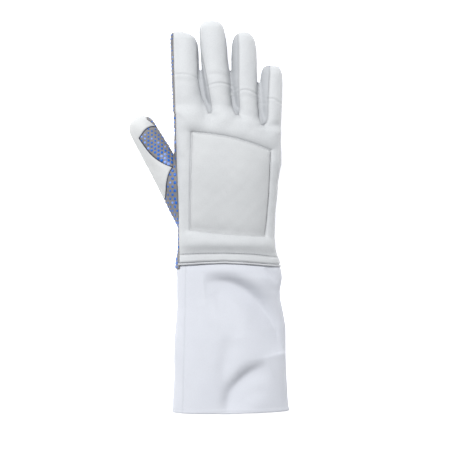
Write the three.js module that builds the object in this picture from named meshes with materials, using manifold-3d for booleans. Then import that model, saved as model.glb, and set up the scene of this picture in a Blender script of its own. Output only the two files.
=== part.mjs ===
// A right-hand sabre fencing glove that lies on its palm, fingers along +Y and thumb towards -X.
// Lengths are millimetres. The wrist seam is at y = 0 while the pieces are made.

import * as THREE from 'three';
import Module from 'manifold-3d';
import { LoftGeometry } from 'three/addons/geometries/LoftGeometry.js';
import { mergeVertices } from 'three/addons/utils/BufferGeometryUtils.js';

const wasm = await Module();
wasm.setup();

// Walls and clearances
const leatherWall = 2;
const clothWall = 1.6;
const seamGap = 0.3;

// Hand
const handWidth = 100;
const handLength = 142;
const handDepth = 47;
const palmOverhang = 4.5;
const knuckleSlope = 0.42;

// Padded back
const framePuff = 2.6;
const padPuff = 3.2;
const grooveDepth = 1.4;
const bandWidth = 6.8;
const bandRise = 1.5;
const pipingWidth = 2;
const pipingProud = 0.8;

// Cuff
const cuffLength = 141;
const cuffWidth = 110;
const cuffDepth = 56;
const cuffTuck = 10;
const foldReach = 8;
const cuffPress = 2;

// Thumb
const thumbLength = 107;
const thumbWidth = 34;
const thumbDepth = 36;
const thumbRoot = { across: -0.329, along: 0.328, up: 0.43 };
const thumbTipHeight = 14;
const thumbAngle = 29.7;
const thumbSeamHeight = 7;

// Fingers: across, web and up are shares of the hand's width, length and depth,
// lean is how far the tip shifts sideways, and roll is how far the back turns to the little finger.
const fingers = [
  { name: 'index', across: -0.343, web: 1.0, up: 0.54, length: 78.5, width: 27.6, depth: 25, lean: -4.6, roll: 3 },
  { name: 'middle', across: -0.048, web: 0.99, up: 0.55, length: 90, width: 26, depth: 25, lean: -8.5, roll: 26 },
  { name: 'ring', across: 0.222, web: 0.955, up: 0.51, length: 85, width: 24.4, depth: 23.5, lean: -5, roll: 30 },
  { name: 'little', across: 0.428, web: 0.92, up: 0.45, length: 58, width: 21.6, depth: 21, lean: -0.5, roll: 40 },
];
const fingertipClearance = 1.2;
const fingerRootDepth = 6;

// Shares along a finger from its web: width and depth, share of the lean and of the drop to the table,
// and where the seam runs above the middle line as a share of the half depth.
const fingerStations = [
  { at: -0.36, width: 0.84, depth: 0.86, lean: -0.35, drop: 0, seam: 0.5 },
  { at: -0.08, width: 1.06, depth: 1.06, lean: -0.1, drop: 0, seam: 0.5 },
  { at: 0.12, width: 1.06, depth: 1.06, lean: 0.2, drop: 0.02, seam: 0.5 },
  { at: 0.34, width: 1.01, depth: 1.02, lean: 0.6, drop: 0.14, seam: 0.5 },
  { at: 0.6, width: 0.98, depth: 0.96, lean: 0.85, drop: 0.48, seam: 0.48 },
  { at: 0.8, width: 0.95, depth: 0.9, lean: 0.95, drop: 0.8, seam: 0.36 },
  { at: 0.9, width: 0.89, depth: 0.82, lean: 1, drop: 0.93, seam: 0.14 },
  { at: 0.955, width: 0.76, depth: 0.66, lean: 1, drop: 0.98, seam: 0.02 },
  { at: 0.988, width: 0.56, depth: 0.44, lean: 1, drop: 1, seam: 0 },
  { at: 1, width: 0.36, depth: 0.24, lean: 1, drop: 1, seam: 0 },
];

// Shares along the hand from the wrist: edges of its width, heights of its depth,
// and how much of the knuckle slope the section takes on the little finger's side.
const handStations = [
  { at: -0.032, left: -0.477, right: 0.508, top: 0.97, waist: 0.46, floor: -0.03, slope: 0 },
  { at: 0.014, left: -0.475, right: 0.5, top: 0.97, waist: 0.46, floor: -0.03, slope: 0 },
  { at: 0.067, left: -0.468, right: 0.48, top: 0.96, waist: 0.45, floor: -0.03, slope: 0 },
  { at: 0.16, left: -0.46, right: 0.458, top: 0.95, waist: 0.44, floor: -0.03, slope: 0 },
  { at: 0.31, left: -0.468, right: 0.46, top: 0.97, waist: 0.43, floor: -0.03, slope: 0 },
  { at: 0.47, left: -0.48, right: 0.485, top: 1, waist: 0.42, floor: -0.03, slope: 0.1 },
  { at: 0.63, left: -0.492, right: 0.508, top: 1, waist: 0.42, floor: -0.03, slope: 0.4 },
  { at: 0.76, left: -0.496, right: 0.528, top: 0.98, waist: 0.43, floor: -0.02, slope: 0.75 },
  { at: 0.86, left: -0.492, right: 0.535, top: 0.93, waist: 0.45, floor: 0.02, slope: 1 },
  { at: 0.92, left: -0.484, right: 0.535, top: 0.87, waist: 0.48, floor: 0.1, slope: 1 },
  { at: 0.965, left: -0.475, right: 0.52, top: 0.77, waist: 0.5, floor: 0.22, slope: 1 },
  { at: 1, left: -0.42, right: 0.46, top: 0.62, waist: 0.5, floor: 0.38, slope: 1 },
];

// Shares along the cuff from the wrist to the hem.
const cuffStations = [
  { at: 0.036, left: -0.43, right: 0.462, top: 0.815 },
  { at: 0.09, left: -0.424, right: 0.479, top: 0.83 },
  { at: 0.14, left: -0.424, right: 0.474, top: 0.835 },
  { at: 0.19, left: -0.424, right: 0.467, top: 0.84 },
  { at: 0.26, left: -0.424, right: 0.471, top: 0.85 },
  { at: 0.34, left: -0.432, right: 0.496, top: 0.87 },
  { at: 0.44, left: -0.438, right: 0.515, top: 0.9 },
  { at: 0.58, left: -0.449, right: 0.518, top: 0.94 },
  { at: 0.7, left: -0.452, right: 0.524, top: 0.96 },
  { at: 0.79, left: -0.455, right: 0.53, top: 0.975 },
  { at: 0.9, left: -0.458, right: 0.538, top: 0.99 },
  { at: 1, left: -0.459, right: 0.545, top: 1 },
];

// Folds pressed into the cuff: points as shares of its width and length, depth as a share of its depth.
const cuffFolds = [
  { depth: 0.07, path: [[-0.1, 0.075], [0.06, 0.08], [0.216, 0.142], [0.355, 0.23], [0.42, 0.33], [0.475, 0.42]] },
  { depth: 0.025, path: [[-0.07, 0.23], [0.06, 0.34]] },
  { depth: 0.02, path: [[0.02, 0.6], [0.02, 0.82]] },
  { depth: 0.045, path: [[0.32, 0.7], [0.164, 0.75], [0.005, 0.92]] },
];

// Plan lines of the seams on the thumb's side, as shares of the hand's width and length.
const backEdge = [[-0.446, -0.1], [-0.448, 0.24], [-0.456, 0.45], [-0.465, 0.6], [-0.472, 0.7], [-0.482, 0.895], [-0.48, 1.1]];
const thumbPatch = [[-0.506, 0.65], [-0.568, 0.664], [-0.651, 0.697], [-0.723, 0.741], [-0.789, 0.802], [-0.826, 0.84],
  [-0.77, 0.896], [-0.713, 0.921], [-0.661, 0.918]];
const thenarEdge = [[-0.506, 0.645], [-0.542, 0.603], [-0.563, 0.544], [-0.568, 0.48], [-0.558, 0.422], [-0.538, 0.378],
  [-0.506, 0.327], [-0.45, 0.24]];
const thumbCrotch = [-0.502, 0.766];

// Corners of the padded panel and of the puffed frame around it, in the same shares, counterclockwise.
const panelCorners = [[-0.34, 0.229], [0.37, 0.19], [0.423, 0.756], [-0.325, 0.877]];
const frameCorners = [[-0.43, 0.085], [0.43, 0.08], [0.475, 0.835], [-0.45, 0.945]];

const squareness = 2.35;
const beyond = 60;

// Sides of the rings, outside and in the hollow.
const sides = { hand: [28, 20], finger: [12, 8], thumb: [12, 8], cuff: [24, 20] };

const materials = {
  back_leather: new THREE.MeshStandardMaterial({ color: 0xe3e5e8, roughness: 0.75, metalness: 0 }),
  pad_leather: new THREE.MeshStandardMaterial({ color: 0xe9ebec, roughness: 0.8, metalness: 0 }),
  gusset_leather: new THREE.MeshStandardMaterial({ color: 0xd2d5d9, roughness: 0.8, metalness: 0 }),
  grip_fabric: new THREE.MeshStandardMaterial({ color: 0x77818f, roughness: 0.85, metalness: 0 }),
  cuff_cloth: new THREE.MeshStandardMaterial({ color: 0xeef0f7, roughness: 0.8, metalness: 0 }),
  piping_cord: new THREE.MeshStandardMaterial({ color: 0xc9ccd3, roughness: 0.8, metalness: 0 }),
};

/** A solid from a closed three.js geometry. */
function solid(geometry) {
  const bare = new THREE.BufferGeometry();
  bare.setAttribute('position', geometry.attributes.position);
  bare.setIndex(geometry.index);
  const merged = mergeVertices(bare, 1e-4);
  return new wasm.Manifold(new wasm.Mesh({
    numProp: 3,
    vertProperties: new Float32Array(merged.attributes.position.array),
    triVerts: new Uint32Array(merged.index.array),
  }));
}

/** A solid through a row of sections. */
function loft(sections) {
  return solid(new LoftGeometry(sections, { closed: true, capStart: true, capEnd: true }));
}

/** A solid between two heights above a closed plan outline. */
function planPrism(outline, low = -beyond, high = 2 * beyond) {
  const geometry = new THREE.ExtrudeGeometry(new THREE.Shape(outline.map(([x, y]) => new THREE.Vector2(x, y))),
    { depth: high - low, bevelEnabled: false });
  return solid(geometry.translate(0, 0, low));
}

/** A solid from an outline in y and height, swept sideways between two places in a frame turned by roll. */
function sidePrism(outline, from, to, roll = 0, origin = new THREE.Vector3()) {
  const geometry = new THREE.ExtrudeGeometry(new THREE.Shape(outline.map(([y, z]) => new THREE.Vector2(y, z))),
    { depth: to - from, bevelEnabled: false });
  geometry.translate(0, 0, from);
  const up = new THREE.Vector3(Math.sin(roll), 0, Math.cos(roll));
  const sideways = new THREE.Vector3(Math.cos(roll), 0, -Math.sin(roll));
  const frame = new THREE.Matrix4().makeBasis(new THREE.Vector3(0, 1, 0), up, sideways).setPosition(origin);
  return solid(geometry.applyMatrix4(frame));
}

/** The value of one column at a place between the rows of a table. */
function between(table, at, column) {
  const upper = table.findIndex((row) => row.at >= at);
  if (upper === -1) return table.at(-1)[column];
  if (upper === 0) return table[0][column];
  const [a, b] = [table[upper - 1], table[upper]];
  return THREE.MathUtils.lerp(a[column], b[column], (at - a.at) / (b.at - a.at));
}

/** Height of a rounded-square arch at a share of its half width. */
function arch(share) {
  return Math.pow(Math.max(0, 1 - Math.pow(Math.abs(share), squareness)), 1 / squareness);
}

/** How many sides a ring takes: fewer in the hollow. */
function sidesOf(kind, margin) {
  return sides[kind][margin < 0 ? 1 : 0];
}

/** Points of a rounded-square ring, counterclockwise seen from +Y. */
function ring(count, place) {
  return Array.from({ length: count }, (_, i) => {
    const angle = -(i / count) * 2 * Math.PI;
    const power = 2 / squareness;
    const across = Math.sign(Math.cos(angle)) * Math.abs(Math.cos(angle)) ** power;
    const up = Math.sign(Math.sin(angle)) * Math.abs(Math.sin(angle)) ** power;
    return place(across, up);
  });
}

/** Plan points from shares of the hand. */
function onHand(shares) {
  return shares.map(([across, along]) => [across * handWidth, along * handLength]);
}

/** Sizes of the hand's section at y, grown outwards by a margin. */
function handAt(y, margin = 0) {
  const at = y / handLength;
  const left = between(handStations, at, 'left') * handWidth - margin;
  const right = between(handStations, at, 'right') * handWidth + margin;
  const waist = between(handStations, at, 'waist') * handDepth;
  return {
    middle: (left + right) / 2,
    half: (right - left) / 2,
    waist,
    rise: between(handStations, at, 'top') * handDepth - waist + margin,
    fall: waist - between(handStations, at, 'floor') * handDepth + margin,
    slope: between(handStations, at, 'slope') * knuckleSlope,
  };
}

/** How far the knuckle line draws a section back at x. */
function setBack(slope, x) {
  return slope * Math.max(0, x - fingers[1].across * handWidth - fingers[1].width / 2);
}

function handSection(y, margin, shift = 0) {
  const size = handAt(y, margin);
  return ring(sidesOf('hand', margin), (across, up) => {
    const x = size.middle + across * size.half;
    return new THREE.Vector3(x, y + shift - setBack(size.slope, x), size.waist + up * (up > 0 ? size.rise : size.fall));
  });
}

/** Height of the hand's upper surface over a plan point. */
function handTop(x, y) {
  let station = y;
  for (let i = 0; i < 4; i++) station = y + setBack(handAt(station).slope, x);
  const size = handAt(station);
  return size.waist + size.rise * arch((x - size.middle) / size.half);
}

/** The hand from wrist to webs, as an outer form or, with a negative margin, as its hollow. */
function handForm(margin) {
  const sections = handStations.map((row, i) => {
    const end = i >= handStations.length - 3 ? margin : 0;
    return handSection(row.at * handLength, margin, end);
  });
  if (margin < 0) sections.unshift(handSection(handStations[0].at * handLength, margin, -beyond));
  return loft(sections);
}

/** A finger's centre, half width and half depth at a share of its length. */
function fingerAt(finger, at) {
  const column = (name) => between(fingerStations, at, name);
  const depth = (finger.depth / 2) * column('depth');
  const rootHeight = finger.up * handDepth;
  const tipHeight = finger.depth * 0.41 + fingertipClearance;
  return {
    x: finger.across * handWidth + column('lean') * finger.lean,
    y: finger.web * handLength + at * finger.length,
    z: THREE.MathUtils.lerp(rootHeight, tipHeight, column('drop')),
    half: (finger.width / 2) * column('width'),
    depth,
    seam: column('seam') * depth,
  };
}

function fingerForm(finger, margin) {
  return loft(fingerStations.map((row) => {
    const size = fingerAt(finger, row.at);
    const end = margin * THREE.MathUtils.smoothstep(row.at, 0.5, 0.95);
    return ring(sidesOf('finger', margin), (across, up) => new THREE.Vector3(
      size.x + across * (size.half + margin), size.y + end, size.z + up * (size.depth + margin)));
  }));
}

const thumbStations = [
  { at: -0.06, width: 1, depth: 1 },
  { at: 0.2, width: 1, depth: 1 },
  { at: 0.42, width: 0.95, depth: 0.93 },
  { at: 0.62, width: 0.87, depth: 0.84 },
  { at: 0.8, width: 0.8, depth: 0.77 },
  { at: 0.89, width: 0.75, depth: 0.7 },
  { at: 0.95, width: 0.58, depth: 0.54 },
  { at: 0.985, width: 0.36, depth: 0.34 },
  { at: 1, width: 0.2, depth: 0.18 },
];

const thumbLine = new THREE.Vector3(-Math.sin(THREE.MathUtils.degToRad(thumbAngle)), Math.cos(THREE.MathUtils.degToRad(thumbAngle)), 0);
const thumbSide = new THREE.Vector3(thumbLine.y, -thumbLine.x, 0);
const thumbStart = new THREE.Vector3(
  thumbRoot.across * handWidth, thumbRoot.along * handLength, thumbRoot.up * handDepth);

function thumbForm(margin) {
  return loft(thumbStations.map((row) => {
    const end = margin * THREE.MathUtils.smoothstep(row.at, 0.5, 0.95);
    const centre = thumbStart.clone().addScaledVector(thumbLine, row.at * thumbLength + end);
    centre.z = THREE.MathUtils.lerp(thumbStart.z, thumbTipHeight, Math.max(0, row.at));
    const half = (thumbWidth / 2) * row.width + margin;
    const depth = (thumbDepth / 2) * row.depth + margin;
    return ring(sidesOf('thumb', margin), (across, up) => centre.clone()
      .addScaledVector(thumbSide, across * half)
      .setZ(centre.z + up * depth));
  }));
}

/** A point between four plan corners, for u and v from 0 to 1. */
function inQuad(corners, u, v) {
  const [a, b, c, d] = corners;
  return [0, 1].map((k) => THREE.MathUtils.lerp(
    THREE.MathUtils.lerp(a[k], b[k], u), THREE.MathUtils.lerp(d[k], c[k], u), v));
}

/** A closed solid over a grid of plan points, between a lower and an upper height. */
function gridSolid(columns, rows, closed, plan, low, high) {
  const wide = closed ? columns : columns + 1;
  const points = [];
  for (const height of [low, high]) {
    for (let j = 0; j <= rows; j++) {
      for (let i = 0; i < wide; i++) {
        const [x, y] = plan(i, j);
        points.push(x, y, height(x, y, i, j));
      }
    }
  }
  const layer = wide * (rows + 1);
  const at = (i, j, top) => (i % wide) + j * wide + (top ? layer : 0);
  const faces = [];
  const quad = (a, b, c, d) => faces.push(a, b, c, a, c, d);
  for (let j = 0; j < rows; j++) {
    for (let i = 0; i < columns; i++) {
      quad(at(i, j, 1), at(i + 1, j, 1), at(i + 1, j + 1, 1), at(i, j + 1, 1));
      quad(at(i, j + 1, 0), at(i + 1, j + 1, 0), at(i + 1, j, 0), at(i, j, 0));
    }
  }
  for (let i = 0; i < columns; i++) {
    quad(at(i, 0, 0), at(i + 1, 0, 0), at(i + 1, 0, 1), at(i, 0, 1));
    quad(at(i + 1, rows, 0), at(i, rows, 0), at(i, rows, 1), at(i + 1, rows, 1));
  }
  for (let j = 0; j < rows && !closed; j++) {
    quad(at(0, j + 1, 0), at(0, j, 0), at(0, j, 1), at(0, j + 1, 1));
    quad(at(columns, j, 0), at(columns, j + 1, 0), at(columns, j + 1, 1), at(columns, j, 1));
  }
  const geometry = new THREE.BufferGeometry();
  geometry.setAttribute('position', new THREE.Float32BufferAttribute(points, 3));
  geometry.setIndex(faces);
  return solid(geometry);
}

/** The puffed frame that the padding raises around the panel. */
function puffedFrame() {
  const inner = onHand(panelCorners);
  const outer = onHand(frameCorners);
  const perSide = 4;
  const across = 4;
  const corner = (corners, i) => {
    const side = Math.floor(i / perSide) % 4;
    const share = (i % perSide) / perSide;
    const [a, b] = [corners[side], corners[(side + 1) % 4]];
    return [0, 1].map((k) => THREE.MathUtils.lerp(a[k], b[k], share));
  };
  return gridSolid(4 * perSide, across, true,
    (i, j) => [0, 1].map((k) => THREE.MathUtils.lerp(corner(outer, i)[k], corner(inner, i)[k], j / across)),
    (x, y) => handTop(x, y) - leatherWall,
    (x, y, i, j) => handTop(x, y) - 0.5 + (framePuff + 0.5) * Math.sin((Math.PI * j) / across) ** 0.7);
}

/** The padded panel, crowned, with its edges sunk in the groove. */
function paddedPanel() {
  const corners = onHand(panelCorners);
  const cells = 7;
  const inset = (share) => THREE.MathUtils.lerp(0.004, 0.996, share);
  const crown = (share) => 1 - Math.abs(2 * share - 1) ** 5;
  return gridSolid(cells, cells, false,
    (i, j) => inQuad(corners, inset(i / cells), inset(j / cells)),
    (x, y) => handTop(x, y) - leatherWall,
    (x, y, i, j) => handTop(x, y) - grooveDepth + (padPuff + grooveDepth) * Math.sqrt(crown(i / cells) * crown(j / cells)));
}

/** Plan distance from a point to a path of points. */
function distanceTo(path, x, y) {
  const point = new THREE.Vector3(x, y, 0);
  let nearest = Infinity;
  for (let i = 1; i < path.length; i++) {
    const line = new THREE.Line3(new THREE.Vector3(...path[i - 1], 0), new THREE.Vector3(...path[i], 0));
    nearest = Math.min(nearest, line.closestPointToPoint(point, true, new THREE.Vector3()).distanceTo(point));
  }
  return nearest;
}

function foldAt(x, y) {
  return cuffFolds.reduce((sum, fold) => {
    const path = fold.path.map(([across, along]) => [across * cuffWidth, -along * cuffLength]);
    return sum + fold.depth * cuffDepth * Math.exp(-((distanceTo(path, x, y) / foldReach) ** 2));
  }, 0);
}

function cuffSection(row, margin) {
  const left = row.left * cuffWidth - margin;
  const right = row.right * cuffWidth + margin;
  const centre = (row.top * cuffDepth) / 2;
  const y = -row.at * cuffLength;
  return ring(sidesOf('cuff', margin), (across, up) => {
    const x = (left + right) / 2 + (across * (right - left)) / 2;
    const z = centre + up * (centre + margin + (up < 0 ? cuffPress : 0));
    return new THREE.Vector3(x, y, up > 0 ? z - foldAt(x, y) * up : z);
  });
}

/** The cuff: a flattened tube from the hem to the wrist, and its stepped-in end tucked inside the hand. */
function cuff() {
  const step = -palmOverhang - seamGap;
  const inHand = -leatherWall - seamGap;
  const rows = cuffStations.toReversed();
  const tube = (margin, end) => loft([
    ...rows.map((row, i) => {
      const section = cuffSection(row, margin);
      if (i === 0) section.forEach((point) => { point.y -= end; });
      return section;
    }),
  ]);
  const tucked = (margin, from, to) => loft([from, 0, to].map((y) => handSection(y, inHand + margin)));
  const floor = (height) => sidePrism(
    [[-2 * cuffLength, height], [step, height], [step, height - inHand], [beyond, height - inHand],
      [beyond, 2 * beyond], [-2 * cuffLength, 2 * beyond]], -beyond * 2, beyond * 2);
  const outer = tube(0, 0).add(tucked(0, step - 3, cuffTuck)).intersect(floor(0));
  const hollow = tube(-clothWall, 1).add(tucked(-clothWall, step - 3, cuffTuck + 1)).intersect(floor(clothWall));
  return outer.subtract(hollow).trimByPlane([0, -1, 0], -cuffTuck);
}

/** The plan zone of a finger between its neighbours, from its root line to past its tip. */
function fingerZone(index, margin) {
  const edge = (k, at) => {
    const [a, b] = [fingers[k], fingers[k + 1]];
    const y = fingers[k].web * handLength + at;
    const shareA = (y - a.web * handLength) / a.length;
    const shareB = (y - b.web * handLength) / b.length;
    const [sizeA, sizeB] = [fingerAt(a, Math.min(shareA, 0.85)), fingerAt(b, Math.min(shareB, 0.85))];
    return [(sizeA.x + sizeA.half + sizeB.x - sizeB.half) / 2, y];
  };
  const rise = [-2 * fingerRootDepth, 0, 15, 45, 110];
  const side = (x) => [[x, 0], [x, 2 * handLength]];
  const left = index === 0 ? side(-2 * beyond) : rise.map((at) => edge(index - 1, at));
  const right = index === fingers.length - 1 ? side(2 * beyond) : rise.map((at) => edge(index, at));
  const grown = [...left.map(([x, y]) => [x - margin, y]), ...right.toReversed().map(([x, y]) => [x + margin, y])];
  return planPrism(grown.toReversed()).subtract(belowRoots(-seamGap / 2));
}

/** The y of the line across the finger roots at x, below the webs. */
function rootLine(x) {
  const webs = fingers.map((finger) => ({ at: finger.across * handWidth, y: finger.web * handLength - fingerRootDepth }));
  return between(webs, x, 'y');
}

/** The half of a finger's back or front, bounded by its seam, on one side of its middle line. */
function seamZone(finger, side, front, open, margin) {
  const roll = THREE.MathUtils.degToRad(finger.roll);
  const origin = fingerAt(finger, 0);
  const stations = [...fingerStations.filter((row) => row.at < 0.96).map((row) => row.at), 1.3];
  const line = stations.map((at) => {
    const size = fingerAt(finger, at);
    const height = (size.x - origin.x) * Math.sin(roll) + (size.z - origin.z) * Math.cos(roll);
    const seam = front && open ? -0.9 * size.seam - margin * -1 : size.seam + (front ? 1 : -1) * margin;
    const y = finger.web * handLength + at * finger.length;
    return [y, height + seam];
  });
  const far = front ? -beyond : beyond;
  const outline = [...line, [line.at(-1)[0], far], [line[0][0], far]];
  const middle = fingerAt(finger, 0.5);
  const split = (middle.x - origin.x) * Math.cos(roll) - (middle.z - origin.z) * Math.sin(roll);
  const [from, to] = side < 0 ? [-beyond, split + 0.01] : [split, beyond];
  return sidePrism(outline, from, to, roll, new THREE.Vector3(origin.x, 0, origin.z));
}

/** One side of a finger, as a zone that reaches both above and below it. */
function halfZone(finger, side) {
  const roll = THREE.MathUtils.degToRad(finger.roll);
  const origin = fingerAt(finger, 0);
  const outline = [[-handLength, -beyond], [3 * handLength, -beyond], [3 * handLength, beyond], [-handLength, beyond]];
  const [from, to] = side < 0 ? [-beyond, 0] : [0, beyond];
  return sidePrism(outline, from, to, roll, new THREE.Vector3(origin.x, 0, origin.z));
}

/** The zone of the back of the hand: right of its plan edge and above the side seam. */
function backZone(margin) {
  const edge = onHand(backEdge).map(([x, y]) => [x - margin, y]);
  const plan = planPrism([...edge.toReversed(), [2 * beyond, -handLength * 0.1].map((v, k) => (k ? edge[0][1] : v)),
    [2 * beyond, edge.at(-1)[1]]]);
  const seam = handStations.map((row) => [row.at * handLength * 1.1, row.waist * handDepth - margin]);
  const above = sidePrism([...seam, [seam.at(-1)[0], 2 * beyond], [seam[0][0], 2 * beyond]], -2 * beyond, 2 * beyond);
  return plan.intersect(above);
}

/** Everything on the wrist's side of the line across the finger roots. */
function belowRoots(margin) {
  const line = [-2 * beyond, ...fingers.map((finger) => finger.across * handWidth), 2 * beyond];
  return planPrism([[-2 * beyond, -2 * handLength], [2 * beyond, -2 * handLength],
    ...line.toReversed().map((x) => [x, rootLine(x) - margin])]);
}

/** A slab between two places along the glove. */
function slab(from, to) {
  return planPrism([[-3 * beyond, from], [3 * beyond, from], [3 * beyond, to], [-3 * beyond, to]]);
}

/** A ring of the wrist's section between two places along the hand. */
function wristRing(from, to, proud) {
  const tube = (margin, extra) => loft([from - extra, to + extra].map((y) => handSection(y, margin)));
  return tube(proud, 0).subtract(tube(-leatherWall, 1));
}

/** The largest single body of a solid. */
function largest(body) {
  return body.decompose().reduce((best, each) => (each.volume() > best.volume() ? each : best));
}

function meshOf(name, material, body) {
  const { vertProperties, triVerts } = largest(body).getMesh();
  const geometry = new THREE.BufferGeometry();
  geometry.setAttribute('position', new THREE.Float32BufferAttribute(vertProperties, 3));
  geometry.setIndex(new THREE.Uint32BufferAttribute(triVerts, 1));
  geometry.computeVertexNormals();
  const mesh = new THREE.Mesh(geometry, materials[material]);
  mesh.name = name;
  return mesh;
}

const floorAt = (height) => planPrism(
  [[-3 * beyond, -3 * handLength], [3 * beyond, -3 * handLength], [3 * beyond, 3 * handLength], [-3 * beyond, 3 * handLength]],
  height, 3 * beyond);

const outerForm = fingers.reduce((form, finger) => form.add(fingerForm(finger, 0)), handForm(0))
  .add(thumbForm(0)).add(puffedFrame()).intersect(floorAt(0));
const hollowForm = fingers.reduce((form, finger) => form.add(fingerForm(finger, -leatherWall)), handForm(-leatherWall))
  .add(thumbForm(-leatherWall)).intersect(floorAt(leatherWall));
const shell = outerForm.subtract(hollowForm);

// The thumb's zones in plan
const handSide = onHand(backEdge.slice(1, 5));
const crotch = onHand([thumbCrotch])[0];
const thumbZone = (margin) => planPrism([...handSide.map(([x, y]) => [x + margin, y]), [crotch[0] + margin, crotch[1]],
  [crotch[0] + margin, 2 * handLength], [-3 * beyond, 2 * handLength], [-3 * beyond, handSide[0][1]]]);
const grownFrom = (outline, margin, centre) => outline.map(([x, y]) => {
  const away = new THREE.Vector2(x - centre[0], y - centre[1]).setLength(margin);
  return [x + away.x, y + away.y];
});
const patchOutline = onHand(thumbPatch);
const patchZone = (margin) => planPrism([...grownFrom(patchOutline, margin, crotch), [patchOutline.at(-1)[0] + 30, patchOutline.at(-1)[1]],
  [patchOutline.at(-1)[0] + 30, patchOutline[0][1] - margin]].toReversed());
const thenarOutline = onHand(thenarEdge);
const thenarZone = (margin) => planPrism([...grownFrom(thenarOutline, margin, [0, thenarOutline[3][1]]),
  [0, thenarOutline.at(-1)[1] - margin], [0, thenarOutline[0][1] + margin]]);
const whiteThumb = (margin) => thumbZone(margin)
  .subtract(patchZone(seamGap - margin))
  .subtract(thenarZone(seamGap - margin))
  .intersect(floorAt(thumbSeamHeight - margin));

const glove = new THREE.Group();

glove.add(meshOf('cuff', 'cuff_cloth', cuff()));

const bandTop = bandRise + bandWidth;
glove.add(meshOf('wrist_band', 'back_leather', wristRing(bandRise, bandTop, 0).intersect(backZone(0))));
glove.add(meshOf('wrist_piping', 'piping_cord',
  wristRing(bandRise - seamGap - pipingWidth, bandRise - seamGap, pipingProud).intersect(backZone(0))));

const panelHole = planPrism(onHand(panelCorners));
glove.add(meshOf('hand_back', 'back_leather', shell
  .intersect(backZone(0))
  .intersect(belowRoots(seamGap / 2))
  .intersect(slab(bandTop + seamGap, 2 * handLength))
  .subtract(panelHole)));
glove.add(meshOf('back_pad', 'pad_leather', paddedPanel()));

fingers.forEach((finger, i) => {
  const own = shell.intersect(fingerZone(i, -seamGap / 2));
  const back = (margin) => seamZone(finger, -1, false, false, margin).add(seamZone(finger, 1, false, false, margin));
  const openLeft = i > 0;
  const openRight = i < fingers.length - 1;
  const front = seamZone(finger, -1, true, openLeft, 0).add(seamZone(finger, 1, true, openRight, 0));
  glove.add(meshOf(`${finger.name}_back`, 'back_leather', own.intersect(back(0))));
  glove.add(meshOf(`${finger.name}_front`, 'grip_fabric', own.intersect(front).subtract(back(seamGap))));
});

fingers.slice(0, -1).forEach((finger, i) => {
  const sides = [[i, 1], [i + 1, -1]];
  const strips = sides.map(([k, side]) => shell.intersect(fingerZone(k, seamGap)).intersect(halfZone(fingers[k], side)));
  const covers = sides.map(([k]) => fingerZone(k, seamGap / 2).intersect([-1, 1].reduce((zone, side) => zone
    .add(seamZone(fingers[k], side, false, true, seamGap))
    .add(seamZone(fingers[k], side, true, true, seamGap)), slab(-3 * handLength, -2 * handLength))));
  const name = `${finger.name}_${fingers[i + 1].name}_gusset`;
  glove.add(meshOf(name, 'gusset_leather', strips[0].add(strips[1]).subtract(covers[0]).subtract(covers[1])));
});

const handShell = shell.intersect(belowRoots(seamGap / 2));
const thumbRootLine = patchOutline[0][1];
glove.add(meshOf('thumb_back', 'back_leather', handShell.add(shell).intersect(whiteThumb(0))));
glove.add(meshOf('thumb_grip', 'grip_fabric', shell
  .intersect(thumbZone(0))
  .intersect(slab(thumbRootLine, 2 * handLength))
  .subtract(whiteThumb(seamGap))));
glove.add(meshOf('palm', 'grip_fabric', handShell
  .subtract(backZone(seamGap))
  .subtract(whiteThumb(seamGap))
  .subtract(thumbZone(seamGap).intersect(slab(thumbRootLine - seamGap, 2 * handLength)))));

// The glove stands with the middle of its underside at the origin.
const box = new THREE.Box3().setFromObject(glove);
const centre = box.getCenter(new THREE.Vector3());
glove.position.set(-centre.x, -centre.y, -box.min.z);

export default glove;
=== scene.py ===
"""Dresses the frame of a right-hand sabre fencing glove: leather, padding, grip fabric and cuff.

The glove lies on its palm with the fingers along +Y and the thumb towards -X. The classes below
hold their sizes in millimetres in the glove's own frame, where the wrist seam is at y = 0. Pieces
are moved into the row frame, in metres, when they are finished.
"""

from __future__ import annotations

import logging
import math
from collections.abc import Callable, Sequence
from dataclasses import dataclass, field
from enum import Enum

import bmesh
import bpy
import numpy as np
from mathutils import Matrix, Vector
from mathutils.bvhtree import BVHTree
from mathutils.kdtree import KDTree

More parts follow.
